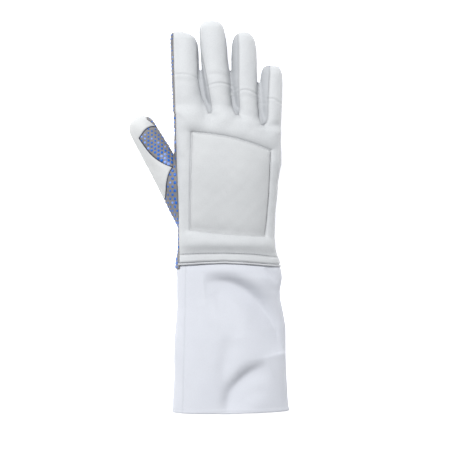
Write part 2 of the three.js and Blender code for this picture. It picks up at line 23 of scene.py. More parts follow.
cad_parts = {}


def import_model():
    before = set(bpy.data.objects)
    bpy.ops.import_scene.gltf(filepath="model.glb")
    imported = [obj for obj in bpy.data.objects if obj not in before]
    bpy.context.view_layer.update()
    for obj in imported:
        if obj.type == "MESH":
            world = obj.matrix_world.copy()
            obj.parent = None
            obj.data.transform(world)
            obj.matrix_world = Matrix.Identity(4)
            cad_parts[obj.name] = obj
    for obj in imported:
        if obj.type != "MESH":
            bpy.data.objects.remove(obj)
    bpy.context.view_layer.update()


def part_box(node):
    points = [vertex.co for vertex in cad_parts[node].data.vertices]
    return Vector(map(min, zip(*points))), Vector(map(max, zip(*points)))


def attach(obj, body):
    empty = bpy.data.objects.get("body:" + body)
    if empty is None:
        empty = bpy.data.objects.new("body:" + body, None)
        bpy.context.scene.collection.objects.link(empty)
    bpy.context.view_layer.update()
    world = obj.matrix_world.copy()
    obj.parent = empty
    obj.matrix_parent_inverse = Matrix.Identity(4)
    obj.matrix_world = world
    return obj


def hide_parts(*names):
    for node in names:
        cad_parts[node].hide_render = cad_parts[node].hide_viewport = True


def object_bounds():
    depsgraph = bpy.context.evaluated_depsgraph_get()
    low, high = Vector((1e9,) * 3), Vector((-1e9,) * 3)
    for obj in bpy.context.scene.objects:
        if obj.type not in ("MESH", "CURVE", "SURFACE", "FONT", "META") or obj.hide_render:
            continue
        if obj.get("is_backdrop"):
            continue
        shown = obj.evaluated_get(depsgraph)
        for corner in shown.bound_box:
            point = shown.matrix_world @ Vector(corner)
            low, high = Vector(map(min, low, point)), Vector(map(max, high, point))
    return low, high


LOG = logging.getLogger("fencing_glove")

MM = 0.001
ROOT_BODY = "root"
FAR = 400.0
TINY = 1e-9
TOUCHING = 1e-6
CUFF_HEM = -141.0
CUFF_RIGHT = 59.95
CREASE_STEP = 1.5

Plan = Sequence[tuple[float, float]]
Place = Callable[[float, float], Vector]
Colour = tuple[float, float, float]
Socket = bpy.types.NodeSocket


class Slot(Enum):
    """The record's material slots."""

    BACK = "back_leather"
    PAD = "pad_leather"
    GUSSET = "gusset_leather"
    GRIP = "grip_fabric"
    CUFF = "cuff_cloth"
    PIPING = "piping_cord"


@dataclass(frozen=True)
class HandRow:
    """A section of the hand: its place along y, its edges and its heights."""

    y: float
    left: float
    right: float
    top: float
    waist: float
    bottom: float


@dataclass(frozen=True)
class EdgeRow:
    """The left and right edges of a form at one place along y."""

    y: float
    left: float
    right: float


@dataclass(frozen=True)
class CuffRow:
    """A section of the cuff: its place along y, its edges and its top."""

    y: float
    left: float
    right: float
    top: float


@dataclass(frozen=True)
class Crease:
    """A crease pressed into a surface along a plan path.

    Its ridge stands on both sides, it fades towards its ends, and with a recover length it rises
    slowly on the right-hand side of the path.
    """

    path: Plan
    depth: float
    width: float
    ridge: float = 0.0
    fade: float = 0.7
    recover: float = 0.0


def power_ring(share_x: float, share_y: float, squareness: float) -> tuple[float, float]:
    """Moves a point of the unit circle onto a rounded square.

    Args:
        share_x: The circle point's x.
        share_y: The circle point's y.
        squareness: The exponent, 2 for a circle and more for a squarer ring.

    Returns:
        The point on the rounded square.
    """
    power = 2.0 / squareness
    return (
        math.copysign(abs(share_x) ** power, share_x),
        math.copysign(abs(share_y) ** power, share_y),
    )


def column(rows: Sequence[object], name: str) -> np.ndarray:
    """One named column of a table of rows, as an array."""
    return np.array([getattr(row, name) for row in rows], float)


def look_up(rows: Sequence[object], name: str, y: float) -> float:
    """The value of a column at a place along y, between the rows of a table that rises in y."""
    return float(np.interp(y, column(rows, "y"), column(rows, name)))


def path_gap(points: np.ndarray, path: Plan) -> tuple[np.ndarray, np.ndarray, np.ndarray]:
    """Plan distance from each point to a path of straight stretches.

    Args:
        points: The points, one row each, of which x and y are read.
        path: The path's plan points.

    Returns:
        The distance of each point, the share of the path's length at its nearest place, and
        whether it lies on the path's right-hand side.
    """
    corners = np.array(path, float)
    lengths = np.hypot(*(corners[1:] - corners[:-1]).T)
    total = max(float(lengths.sum()), TINY)
    nearest, share, done = np.full(len(points), np.inf), np.zeros(len(points)), 0.0
    right = np.zeros(len(points), bool)
    for a, b, length in zip(corners[:-1], corners[1:], lengths):
        run = b - a
        along = np.clip(((points[:, :2] - a) @ run) / max(run @ run, TINY), 0.0, 1.0)
        gap = points[:, :2] - (a + along[:, None] * run)
        reach = np.hypot(gap[:, 0], gap[:, 1])
        closer = reach < nearest
        nearest = np.where(closer, reach, nearest)
        share = np.where(closer, (done + along * length) / total, share)
        right = np.where(closer, run[0] * gap[:, 1] < run[1] * gap[:, 0], right)
        done += length
    return nearest, share, right


def press(points: np.ndarray, creases: Sequence[Crease], spacing: float) -> np.ndarray:
    """How far a row of creases moves each point along its normal.

    Args:
        points: The points, one row each.
        creases: The creases, which fade towards both ends.
        spacing: Where the ridge beside a crease stands, in widths from its line.

    Returns:
        The offset of each point, negative in a crease.
    """
    offset = np.zeros(len(points))
    for crease in creases:
        gap, share, right = path_gap(points, smooth_path(crease.path, CREASE_STEP))
        fade = np.clip(4.0 * share * (1.0 - share), 0.0, 1.0) ** crease.fade
        dent = np.exp(-((gap / crease.width) ** 2)) * crease.depth
        if crease.recover > 0:
            slow = 1.0 / np.cosh(gap / crease.recover) ** 2 * crease.depth
            dent = np.where(right, slow, dent)
        swell = np.exp(-(((gap - spacing * crease.width) / crease.width) ** 2)) * crease.ridge
        offset += (swell - dent) * fade
    return offset


def inside_plan(points: np.ndarray, outline: Plan) -> np.ndarray:
    """Whether each point lies inside a closed plan outline.

    Args:
        points: The points, one row each.
        outline: The outline's plan points.

    Returns:
        True for each point that lies inside.
    """
    inside = np.zeros(len(points), bool)
    x, y = points[:, 0], points[:, 1]
    for (ax, ay), (bx, by) in zip(outline, list(outline[1:]) + [outline[0]]):
        crosses = (ay > y) != (by > y)
        slope = (bx - ax) / ((by - ay) or TINY)
        inside ^= crosses & (x < ax + (y - ay) * slope)
    return inside


def read_points(mesh: bpy.types.Mesh) -> np.ndarray:
    """The mesh's vertices as an array of rows.

    Args:
        mesh: The mesh.

    Returns:
        An array with a row for each vertex.
    """
    flat = np.empty(len(mesh.vertices) * 3, np.float32)
    mesh.vertices.foreach_get("co", flat)
    return flat.reshape(-1, 3).astype(float)


def read_normals(mesh: bpy.types.Mesh) -> np.ndarray:
    """The mesh's vertex normals as an array of rows.

    Args:
        mesh: The mesh.

    Returns:
        An array with a row for each vertex.
    """
    flat = np.empty(len(mesh.vertices) * 3, np.float32)
    mesh.vertices.foreach_get("normal", flat)
    return flat.reshape(-1, 3).astype(float)


def write_points(mesh: bpy.types.Mesh, points: np.ndarray) -> None:
    """Puts an array of rows back into the mesh's vertices."""
    mesh.vertices.foreach_set("co", points.astype(np.float32).ravel())
    mesh.update()


def mesh_from(bm: bmesh.types.BMesh, name: str) -> bpy.types.Mesh:
    """A mesh from a bmesh, which is freed.

    Args:
        bm: The bmesh.
        name: The mesh's name.

    Returns:
        The mesh.
    """
    mesh = bpy.data.meshes.new(name)
    bm.to_mesh(mesh)
    bm.free()
    return mesh


def with_modifiers(mesh: bpy.types.Mesh, *recipes: tuple[str, dict]) -> bpy.types.Mesh:
    """Runs modifiers over a mesh and keeps the result.

    Args:
        mesh: The mesh to start from.
        recipes: A modifier's type and its settings, in order.

    Returns:
        The new mesh.
    """
    holder = bpy.data.objects.new("holder", mesh)
    bpy.context.scene.collection.objects.link(holder)
    for kind, settings in recipes:
        modifier = holder.modifiers.new(kind.lower(), kind)
        for key, value in settings.items():
            setattr(modifier, key, value)
    bpy.context.view_layer.update()
    graph = bpy.context.evaluated_depsgraph_get()
    result = bpy.data.meshes.new_from_object(holder.evaluated_get(graph))
    bpy.data.objects.remove(holder)
    return result


def boolean(mesh: bpy.types.Mesh, cutter: bpy.types.Mesh, operation: str) -> bpy.types.Mesh:
    """Cuts or joins two closed meshes.

    Args:
        mesh: The mesh that is kept.
        cutter: The other mesh.
        operation: INTERSECT, UNION or DIFFERENCE.

    Returns:
        The new mesh. Faces that come from the cutter keep their material index.
    """
    tool = bpy.data.objects.new("tool", cutter)
    bpy.context.scene.collection.objects.link(tool)
    settings = {"operation": operation, "object": tool, "solver": "MANIFOLD"}
    result = with_modifiers(mesh, ("BOOLEAN", settings))
    bpy.data.objects.remove(tool)
    return result


def prism(outline: Sequence[Vector], sweep: Vector) -> bpy.types.Mesh:
    """A closed solid swept from a flat outline, with its faces marked as cutter faces.

    Args:
        outline: The corners of the outline.
        sweep: How far and which way it is swept.

    Returns:
        The solid, whose faces have the material index 1.
    """
    bm = bmesh.new()
    face = bm.faces.new([bm.verts.new(point) for point in outline])
    swept = bmesh.ops.extrude_face_region(bm, geom=[face], use_keep_orig=True)
    moved = [item for item in swept["geom"] if isinstance(item, bmesh.types.BMVert)]
    bmesh.ops.translate(bm, verts=moved, vec=sweep)
    bmesh.ops.triangulate(bm, faces=bm.faces[:])
    bmesh.ops.recalc_face_normals(bm, faces=bm.faces[:])
    for each in bm.faces:
        each.material_index = 1
    return mesh_from(bm, "prism")


def plan_prism(outline: Plan, low: float = -FAR, high: float = FAR) -> bpy.types.Mesh:
    """A solid over a plan outline between two heights."""
    return prism([Vector((x, y, low)) for x, y in outline], Vector((0, 0, high - low)))


def side_prism(outline: Plan, left: float = -FAR, right: float = FAR) -> bpy.types.Mesh:
    """A solid from an outline in y and height, between two places in x."""
    return prism([Vector((left, y, z)) for y, z in outline], Vector((right - left, 0, 0)))


def all_of(*solids: bpy.types.Mesh) -> bpy.types.Mesh:
    """What several solids have in common.

    Args:
        solids: The closed solids.

    Returns:
        The new solid.
    """
    result = solids[0]
    for other in solids[1:]:
        result = boolean(result, other, "INTERSECT")
    return result


def any_of(*solids: bpy.types.Mesh) -> bpy.types.Mesh:
    """Several solids as one.

    Args:
        solids: The closed solids.

    Returns:
        The new solid.
    """
    result = solids[0]
    for other in solids[1:]:
        result = boolean(result, other, "UNION")
    return result


def without(solid: bpy.types.Mesh, *others: bpy.types.Mesh) -> bpy.types.Mesh:
    """A solid with others cut away.

    Args:
        solid: The solid that is cut.
        others: The solids that are cut away.

    Returns:
        The new solid.
    """
    result = solid
    for other in others:
        result = boolean(result, other, "DIFFERENCE")
    return result


def add_loft(bm: bmesh.types.BMesh, places: Sequence[Place], segments: int, capped: bool = True) -> None:
    """Bridges a row of rings into a tube.

    Args:
        bm: The bmesh to add to.
        places: A function for each ring that puts a point of the unit circle in its place.
        segments: How many points each ring has.
        capped: Whether the ends are closed.
    """
    loops = []
    for place in places:
        ring = bmesh.ops.create_circle(bm, cap_ends=False, segments=segments, radius=1.0)["verts"]
        edges = {edge for vert in ring for edge in vert.link_edges}
        for vert in ring:
            vert.co = place(vert.co.x, vert.co.y)
        loops.append(list(edges))
    for first, second in zip(loops, loops[1:]):
        bmesh.ops.bridge_loops(bm, edges=first + second)
    if capped:
        for loop in (loops[0], loops[-1]):
            bmesh.ops.contextual_create(bm, geom=loop)
    bmesh.ops.recalc_face_normals(bm, faces=bm.faces[:])


def sweep_tube(bm: bmesh.types.BMesh, route: Sequence[Vector], radius: float, segments: int = 8) -> None:
    """Sweeps a round section along a route and closes its ends.

    Args:
        bm: The bmesh to add to.
        route: The points of the tube's middle line.
        radius: The section's radius.
        segments: How many points each ring has.
    """
    places = []
    for i, point in enumerate(route):
        ahead = (route[min(i + 1, len(route) - 1)] - route[max(i - 1, 0)]).normalized()
        turn = ahead.to_track_quat("Z", "Y").to_matrix()
        places.append(lambda x, y, p=point, t=turn: p + t @ Vector((x * radius, y * radius, 0)))
    add_loft(bm, places, segments)


def resample(route: Sequence[Vector], step: float) -> list[Vector]:
    """Points at an even step along a route.

    Args:
        route: The route's points.
        step: The distance between the new points, about.

    Returns:
        The new points, with both ends.
    """
    points = [np.array(point, float) for point in route]
    lengths = [0.0]
    for a, b in zip(points, points[1:]):
        lengths.append(lengths[-1] + float(np.linalg.norm(b - a)))
    stops = np.linspace(0.0, lengths[-1], max(2, round(lengths[-1] / step) + 1))
    table = np.array(points)
    columns = [np.interp(stops, lengths, table[:, k]) for k in range(table.shape[1])]
    return [Vector(row) for row in np.stack(columns, axis=1).tolist()]


def smooth_path(path: Plan, step: float = 2.0) -> list[tuple[float, float]]:
    """A plan path through the same points, rounded by a Catmull-Rom curve.

    Args:
        path: The points that the curve passes through.
        step: The distance between the curve's points, about.

    Returns:
        The curve's points.
    """
    points = [np.array(p, float) for p in path]
    ends = [2 * points[0] - points[1], *points, 2 * points[-1] - points[-2]]
    curve = []
    for a, b, c, d in zip(ends, ends[1:], ends[2:], ends[3:]):
        count = max(1, round(float(np.linalg.norm(c - b)) / step))
        for t in (k / count for k in range(count)):
            curve.append(0.5 * (2 * b + (c - a) * t + (2 * a - 5 * b + 4 * c - d) * t * t
                                + (3 * b - a - 3 * c + d) * t ** 3))
    curve.append(points[-1])
    return [(float(p[0]), float(p[1])) for p in curve]


@dataclass(frozen=True)
class Finger:
    """A finger: its outline from above, its heights, and where its seams run."""

    name: str
    edges: tuple[EdgeRow, ...]
    web: float
    root_height: float
    tip_height: float
    depth: float
    seam: tuple[tuple[float, float], ...]
    little_seam: float
    front_seam: float
    segments: int = 40
    squareness: float = 2.2
    tip_round: float = 9.0
    tip_blunt: float = 0.6
    tip_least: float = 0.04
    taper: float = 0.14
    drop_from: float = 0.12
    drop_power: float = 1.35
    ring_step: float = 6.0
    ring_end: float = 8.0

    @property
    def tip(self) -> float:
        """Where the finger ends along y."""
        return self.edges[-1].y

    def share(self, y: float) -> float:
        """How far y is from the web to the tip."""
        return (y - self.web) / (self.tip - self.web)

    def middle(self, y: float) -> float:
        """The middle of the finger from side to side."""
        return 0.5 * (look_up(self.edges, "left", y) + look_up(self.edges, "right", y))

    def half(self, y: float) -> float:
        """Half the finger's width."""
        return 0.5 * (look_up(self.edges, "right", y) - look_up(self.edges, "left", y))

    def centre_height(self, y: float) -> float:
        """The height of the finger's middle line, which sinks towards the table."""
        t = min(max((self.share(y) - self.drop_from) / (1.0 - self.drop_from), 0.0), 1.0)
        return self.root_height + (self.tip_height - self.root_height) * t ** self.drop_power

    def half_depth(self, y: float) -> float:
        """Half the finger's depth, rounded off at its tip.

        Args:
            y: The place along the finger.

        Returns:
            Half the depth.
        """
        t = min(max(self.share(y), 0.0), 1.0)
        body = 0.5 * self.depth * (1.0 - self.taper * t)
        near = min(1.0, (self.tip - y + self.tip_blunt) / self.tip_round)
        return body * math.sqrt(max(self.tip_least, 1.0 - (1.0 - near) ** 2))

    def place(self, y: float) -> Place:
        """The function that puts a unit circle on the finger's section.

        Args:
            y: The section's place.

        Returns:
            A function from a point of the unit circle to its place.
        """
        middle, half = self.middle(y), self.half(y)
        height, deep = self.centre_height(y), self.half_depth(y)

        def put(x: float, z: float) -> Vector:
            """Puts one point of the circle."""
            across, up = power_ring(x, z, self.squareness)
            return Vector((middle + across * half, y, height + up * deep))

        return put

    def add_form(self, bm: bmesh.types.BMesh) -> None:
        """Adds the finger's closed form."""
        even = np.arange(self.edges[0].y, self.tip - self.ring_end, self.ring_step)
        stops = sorted({row.y for row in self.edges} | set(even))
        add_loft(bm, [self.place(y) for y in stops], self.segments)


@dataclass(frozen=True)
class Thumb:
    """The thumb: a tapering form along a slanted line."""

    root: tuple[float, float, float] = (-32.9, 46.6, 17.0)
    length: float = 107.0
    angle: float = 29.7
    tip_height: float = 14.2
    root_half: float = 17.0
    tip_half: float = 13.0
    root_depth: float = 15.0
    tip_depth: float = 12.6
    tip_round: float = 13.0
    tip_blunt: float = 0.3
    tip_least: float = 0.02
    tip_power: float = 2.2
    taper_power: float = 0.8
    segments: int = 44
    squareness: float = 2.15
    runs: tuple[float, ...] = (-8.0, 10, 28, 46, 62, 76, 86, 92, 96, 99.5, 102.5, 105, 106.4)

    @property
    def ahead(self) -> Vector:
        """The way the thumb points."""
        turn = math.radians(self.angle)
        return Vector((-math.sin(turn), math.cos(turn), 0.0))

    @property
    def sideways(self) -> Vector:
        """The way from the thumb's middle line to its inner side."""
        return Vector((self.ahead.y, -self.ahead.x, 0.0))

    def centre(self, run: float) -> Vector:
        """A point of the middle line.

        Args:
            run: How far it is from the root.

        Returns:
            The point.
        """
        point = Vector(self.root) + self.ahead * run
        share = min(max(run / self.length, 0.0), 1.0)
        point.z = self.root[2] + (self.tip_height - self.root[2]) * share
        return point

    def place(self, run: float) -> Place:
        """The function that puts a unit circle on the thumb's section.

        Args:
            run: How far the section is from the root.

        Returns:
            A function from a point of the unit circle to its place.
        """
        share = min(max(run / (self.length - self.tip_round), 0.0), 1.0)
        near = min(1.0, (self.length - run + self.tip_blunt) / self.tip_round)
        blunt = math.sqrt(max(self.tip_least, 1.0 - (1.0 - near) ** self.tip_power))
        half = self.root_half + (self.tip_half - self.root_half) * share ** self.taper_power
        half *= blunt
        deep = (self.root_depth + (self.tip_depth - self.root_depth) * share) * blunt
        middle, side = self.centre(run), self.sideways

        def put(x: float, z: float) -> Vector:
            """Puts one point of the circle."""
            across, up = power_ring(x, z, self.squareness)
            return middle + side * (across * half) + Vector((0, 0, up * deep))

        return put

    def add_form(self, bm: bmesh.types.BMesh) -> None:
        """Adds the thumb's closed form."""
        add_loft(bm, [self.place(run) for run in (*self.runs, self.length)], self.segments)


FINGERS = (
    Finger(
        "index",
        (EdgeRow(104, -46, -19), EdgeRow(122, -48.4, -15.0), EdgeRow(135, -49.4, -14.0),
         EdgeRow(143, -50, -16.8), EdgeRow(150, -50.5, -18.8), EdgeRow(160, -51, -22.6),
         EdgeRow(174.8, -51.6, -25.0), EdgeRow(189, -52.2, -25.8), EdgeRow(203.3, -52.7, -26.3),
         EdgeRow(210, -53.2, -27.0), EdgeRow(215.4, -53.2, -29.0), EdgeRow(219.2, -52.8, -33.6),
         EdgeRow(221, -51.8, -38.0), EdgeRow(221.7, -50.4, -40.6)),
        web=142.0, root_height=25.5, tip_height=12.2, depth=26.0,
        seam=((-47.6, 127.0), (-48.2, 140.0), (-48.6, 152.0), (-49.4, 175.0), (-50.2, 200.0),
              (-50.6, 212.0), (-50.4, 230.0)),
        little_seam=0.42, front_seam=-0.85,
    ),
    Finger(
        "middle",
        (EdgeRow(104, -16, 12), EdgeRow(122, -15, 12.5), EdgeRow(135, -14.4, 12),
         EdgeRow(143, -14.6, 9.0), EdgeRow(150, -16.8, 6.4), EdgeRow(160, -19.8, 4.8),
         EdgeRow(170, -21.5, 4.2), EdgeRow(182, -22.8, 3.3), EdgeRow(193.8, -23.7, 2.0),
         EdgeRow(203.3, -24.4, 1.2), EdgeRow(212.8, -25.1, 0.3), EdgeRow(220.4, -25.6, -0.9),
         EdgeRow(226.4, -25.2, -2.4), EdgeRow(230.0, -23.6, -5.0), EdgeRow(231.6, -21.6, -7.6),
         EdgeRow(232.2, -19.8, -9.4)),
        web=141.3, root_height=26.5, tip_height=12.0, depth=25.5,
        seam=((-14.7, 127.0), (-14.7, 140.0), (-13.6, 145.0), (-14.8, 153.0), (-17.8, 171.0),
              (-21.4, 190.0), (-24.4, 206.0), (-25.4, 236.0)),
        little_seam=-0.1, front_seam=-0.85,
    ),
    Finger(
        "ring",
        (EdgeRow(100, 9, 34), EdgeRow(118, 10.4, 34.5), EdgeRow(130, 11.2, 33.6),
         EdgeRow(137, 11.6, 32.2), EdgeRow(143, 11.0, 31.6), EdgeRow(150, 9.2, 30.7),
         EdgeRow(156, 7.7, 30.2), EdgeRow(163.4, 6.4, 29.9), EdgeRow(174.8, 5.4, 29.6),
         EdgeRow(193.8, 4.9, 29.4), EdgeRow(206, 5.2, 29.0), EdgeRow(213, 6.2, 27.9),
         EdgeRow(217.6, 8.2, 25.6), EdgeRow(220.2, 10.4, 22.8), EdgeRow(221.6, 12.6, 20.2)),
        web=136.5, root_height=24.5, tip_height=11.6, depth=24.0,
        seam=((11.6, 118.0), (11.6, 134.0), (12.6, 139.0), (12.4, 150.0), (11.8, 165.0), (11.8, 200.0),
              (11.6, 211.0), (10.6, 224.0)),
        little_seam=-0.1, front_seam=-0.85,
    ),
    Finger(
        "little",
        (EdgeRow(98, 35, 50), EdgeRow(112, 34.2, 52), EdgeRow(124, 33.4, 52.4),
         EdgeRow(132, 34.2, 52.5), EdgeRow(138, 34.2, 52.7), EdgeRow(146, 33.5, 53.1),
         EdgeRow(155, 32.8, 53.5), EdgeRow(165.3, 32.4, 53.9), EdgeRow(174.8, 32.6, 54),
         EdgeRow(181.8, 33.5, 53.7), EdgeRow(186.2, 34.6, 52.4), EdgeRow(188.6, 36.2, 50.4),
         EdgeRow(189.4, 38.0, 48.6)),
        web=131.0, root_height=21.5, tip_height=10.6, depth=21.5,
        seam=((33.4, 112.0), (33.4, 129.0), (38.6, 134.0), (39.4, 140.0), (39.9, 150.0), (41.0, 170.0),
              (41.7, 182.0), (41.6, 196.0)),
        little_seam=-0.3, front_seam=-0.85,
    ),
)


@dataclass
class HandForm:
    """The closed outer form of hand, fingers and thumb, from which every sewn piece is cut."""

    rows: tuple[HandRow, ...] = (
        HandRow(-24, -45, 46, 44, 21.5, -1.5),
        HandRow(-4, -48.4, 51.8, 45.2, 21.6, -1.5),
        HandRow(3.8, -47.6, 51.0, 45.2, 21.6, -1.5),
        HandRow(9.5, -46.6, 48.6, 44.6, 21.2, -1.5),
        HandRow(16, -45.6, 46.4, 43.6, 21, -1.5),
        HandRow(24, -45.2, 45.6, 43.4, 20.6, -1.5),
        HandRow(34, -45.2, 45.8, 43.6, 20.4, -1.5),
        HandRow(46, -45.8, 46.4, 44.4, 20.2, -1.5),
        HandRow(60, -46.6, 47.9, 45.2, 20, -1.5),
        HandRow(78, -47.4, 49.4, 45.6, 20, -1.5),
        HandRow(92, -48.2, 51.4, 45.4, 20.2, -1.2),
        HandRow(103, -49, 53, 44.6, 20.6, -0.8),
        HandRow(114, -49.4, 52.6, 43.2, 21.2, 0.4),
        HandRow(123, -49.3, 52.4, 41.4, 22.2, 2.6),
        HandRow(131, -48.8, 51.6, 38.6, 23.4, 6.4),
        HandRow(137, -46.6, 49.6, 34.6, 24, 12.0),
        HandRow(141, -42, 45, 29.6, 24, 18.0),
    )
    slope_from: float = 86.0
    slope: float = 0.44
    slope_x: float = 10.0
    segments: int = 96
    squareness: float = 2.35
    voxel: float = 0.8
    quick_voxel: float = 1.5
    relax: int = 14
    press: float = 0.0
    knuckles: tuple[float, float] = (112.0, 152.0)
    knuckle_rounds: int = 60
    panel: Plan = ((-34.0, 32.3), (37.0, 26.6), (42.3, 107.4), (-32.3, 124.4))
    panel_bow: tuple[float, float, float, float] = (0.6, 0.8, 3.4, 0.4)
    frame: Plan = ((-51.5, 8.6), (-20.0, 9.8), (0.0, 10.0), (26.0, 9.0), (56.0, 6.0), (58.0, 104.0),
                   (57.0, 130.0), (34.0, 140.0), (12.0, 150.0), (-14.0, 153.0), (-52.5, 152.0))
    frame_puff: float = 5.0
    panel_puff: float = 1.9
    frame_reach: float = 4.2
    panel_reach: float = 1.6
    foot_drop: float = 3.4
    foot_reach: float = 6.2
    wrist_reach: float = 6.0
    edge_reach: float = 9.5
    creases: tuple[Crease, ...] = (
        Crease(((-52.0, 179.6), (-39, 179.6), (-33.5, 178.5), (-23, 175.0)), 0.5, 0.85, 0.16, 0.3),
        Crease(((-50.6, 174.0), (-39, 173.2), (-28, 171.2)), 0.3, 2.2, 0.1),
        Crease(((-18.0, 168.2), (-9.6, 170.6), (-3.1, 170.9), (7.0, 168.6)), 0.6, 0.85, 0.2, 0.3),
        Crease(((-21.0, 178.2), (-10.6, 179.6), (-3.0, 178.8), (6.0, 176.0)), 0.4, 1.8, 0.16),
        Crease(((3.4, 160.6), (8.4, 165.4), (12.6, 166.4)), 0.5, 1.1, 0.1),
        Crease(((11.0, 161.4), (15.2, 164.4), (20.2, 164.5), (24.2, 163.1), (32.6, 159.4)),
                0.7, 0.85, 0.24, 0.3),
        Crease(((12.6, 157.0), (21.0, 158.2), (30.6, 154.6)), 0.35, 1.9, 0.1),
        Crease(((38.4, 156.5), (43.6, 156.9), (48.0, 155.2), (56.6, 149.4)), 0.75, 0.85, 0.2, 0.3),
        Crease(((34.0, 151.6), (40.0, 153.6)), 0.4, 1.3, 0.1),
        Crease(((12.4, 140.6), (21.9, 139.7), (32.0, 134.6)), 0.8, 2.6, 0.2),
        Crease(((33.0, 132.6), (41.8, 130.4), (53.0, 132.8)), 0.75, 2.2, 0.3),
        Crease(((-19.5, 141.6), (-11.0, 139.6), (-1.0, 142.6)), 0.6, 3.2, 0.05),
        Crease(((-48.0, 139.4), (-33.0, 137.5), (-18.0, 140.6)), 0.4, 3.8, 0.15),
        Crease(((4.0, 139.6), (12.0, 136.8), (19.5, 140.0)), 0.7, 2.4, 0.2),
        Crease(((28.6, 131.6), (34.0, 128.4), (40.0, 130.4)), 0.7, 2.2, 0.2),
        Crease(((-49.6, 150.0), (-38.0, 151.6), (-26.0, 148.6)), 0.25, 4.6, 0.1),
        Crease(((-76.0, 97.0), (-69.0, 90.0), (-61.0, 85.6)), 0.35, 2.4, 0.15),
    )
    thumb: Thumb = field(default_factory=Thumb)
    web_ends: tuple[float, float, float] = (184.0, 184.0, 173.0)
    web_lift: float = 0.4
    web_rise: float = 6.0
    web_rise_reach: float = 9.0
    web_depth: float = 3.4
    web_grip: float = 3.0
    web_round: float = 14.0
    web_least: float = 0.05
    web_root: float = 8.0
    web_rings: int = 12
    web_sides: int = 16
    knuckle_slant: float = 0.3
    knuckle_ramp: float = 10.0
    knuckle_low: float = 16.0
    knuckle_height: float = 6.0
    knuckle_facing: tuple[float, float] = (0.25, 0.4)
    knuckle_pull: float = 0.7
    top_gain: float = 1.6
    ridge_place: float = 2.4
    wrist_corners: int = 5
    slope_run: float = 40.0
    bow_points: int = 14

    def set_back(self, y: float, x: float) -> float:
        """How far the knuckle line draws a section back on the little finger's side."""
        amount = min(max((y - self.slope_from) / self.slope_run, 0.0), 1.0) * self.slope
        return amount * max(0.0, x - self.slope_x)

    def place(self, y: float, grown: float = 0.0) -> Place:
        """The function that puts a unit circle on the hand's section.

        Args:
            y: The section's place.
            grown: How much larger it is all round.

        Returns:
            A function from a point of the unit circle to its place.
        """
        left, right = look_up(self.rows, "left", y) - grown, look_up(self.rows, "right", y) + grown
        top, waist, bottom = (look_up(self.rows, name, y) for name in ("top", "waist", "bottom"))

        def put(x: float, z: float) -> Vector:
            """Puts one point of the circle."""
            across, up = power_ring(x, z, self.squareness)
            side = 0.5 * (left + right) + across * 0.5 * (right - left)
            height = waist + up * ((top + grown - waist) if up > 0 else (waist - bottom + grown))
            return Vector((side, y - self.set_back(y, side), height))

        return put

    def panel_outline(self) -> list[tuple[float, float]]:
        """The padded panel's outline, with its bowed sides.

        Returns:
            The outline's plan points.
        """
        outline = []
        count = self.bow_points
        for i, bow in enumerate(self.panel_bow):
            a, b = np.array(self.panel[i]), np.array(self.panel[(i + 1) % 4])
            out = np.array([(b - a)[1], -(b - a)[0]]) / np.linalg.norm(b - a)
            for t in (k / count for k in range(count)):
                point = a + (b - a) * t + out * bow * 4 * t * (1 - t)
                outline.append((float(point[0]), float(point[1])))
        return outline

    def add_web(self, bm: bmesh.types.BMesh, first: Finger, second: Finger, end: float) -> None:
        """Adds the low web that closes the slit between two fingers, up to where they part.

        Args:
            bm: The mesh that the web is added to.
            first: The finger on the thumb's side.
            second: The finger on the other side.
            end: Where the fingers part, along y.
        """
        def place(y: float) -> Place:
            """The function that puts a unit circle on the web's section at y."""
            left, right = look_up(first.edges, "right", y), look_up(second.edges, "left", y)
            near = math.sqrt(min(1.0, max(self.web_least, (end - y) / self.web_round)))
            half = 0.5 * abs(right - left) + self.web_grip * near
            height = 0.5 * (first.centre_height(y) + second.centre_height(y)) + self.web_lift
            height += self.web_rise * math.exp(-(max(0.0, y - second.web) / self.web_rise_reach) ** 2)

            def put(x: float, z: float) -> Vector:
                """Puts one point of the circle."""
                return Vector((0.5 * (left + right) + x * half, y, height + z * self.web_depth * near))

            return put

        start = 0.5 * (first.web + second.web) - self.web_root
        stops = np.linspace(start, end, self.web_rings)
        add_loft(bm, [place(float(y)) for y in stops], self.web_sides)

    def build(self) -> bpy.types.Mesh:
        """The closed outer form, remeshed, relaxed, puffed and creased.

        Returns:
            The form's mesh.
        """
        bm = bmesh.new()
        add_loft(bm, [self.place(row.y) for row in self.rows], self.segments)
        for finger in FINGERS:
            finger.add_form(bm)
        for first, second, end in zip(FINGERS, FINGERS[1:], self.web_ends):
            self.add_web(bm, first, second, end)
        self.thumb.add_form(bm)
        voxel = self.voxel
        rough = mesh_from(bm, "hand_form")
        for each in rough.polygons:
            each.material_index = 0
        mesh = with_modifiers(
            rough,
            ("REMESH", {"mode": "VOXEL", "voxel_size": voxel}),
            ("SMOOTH", {"factor": 0.5, "iterations": self.relax}),
        )
        self.soften(mesh)
        self.shape(mesh)
        return mesh

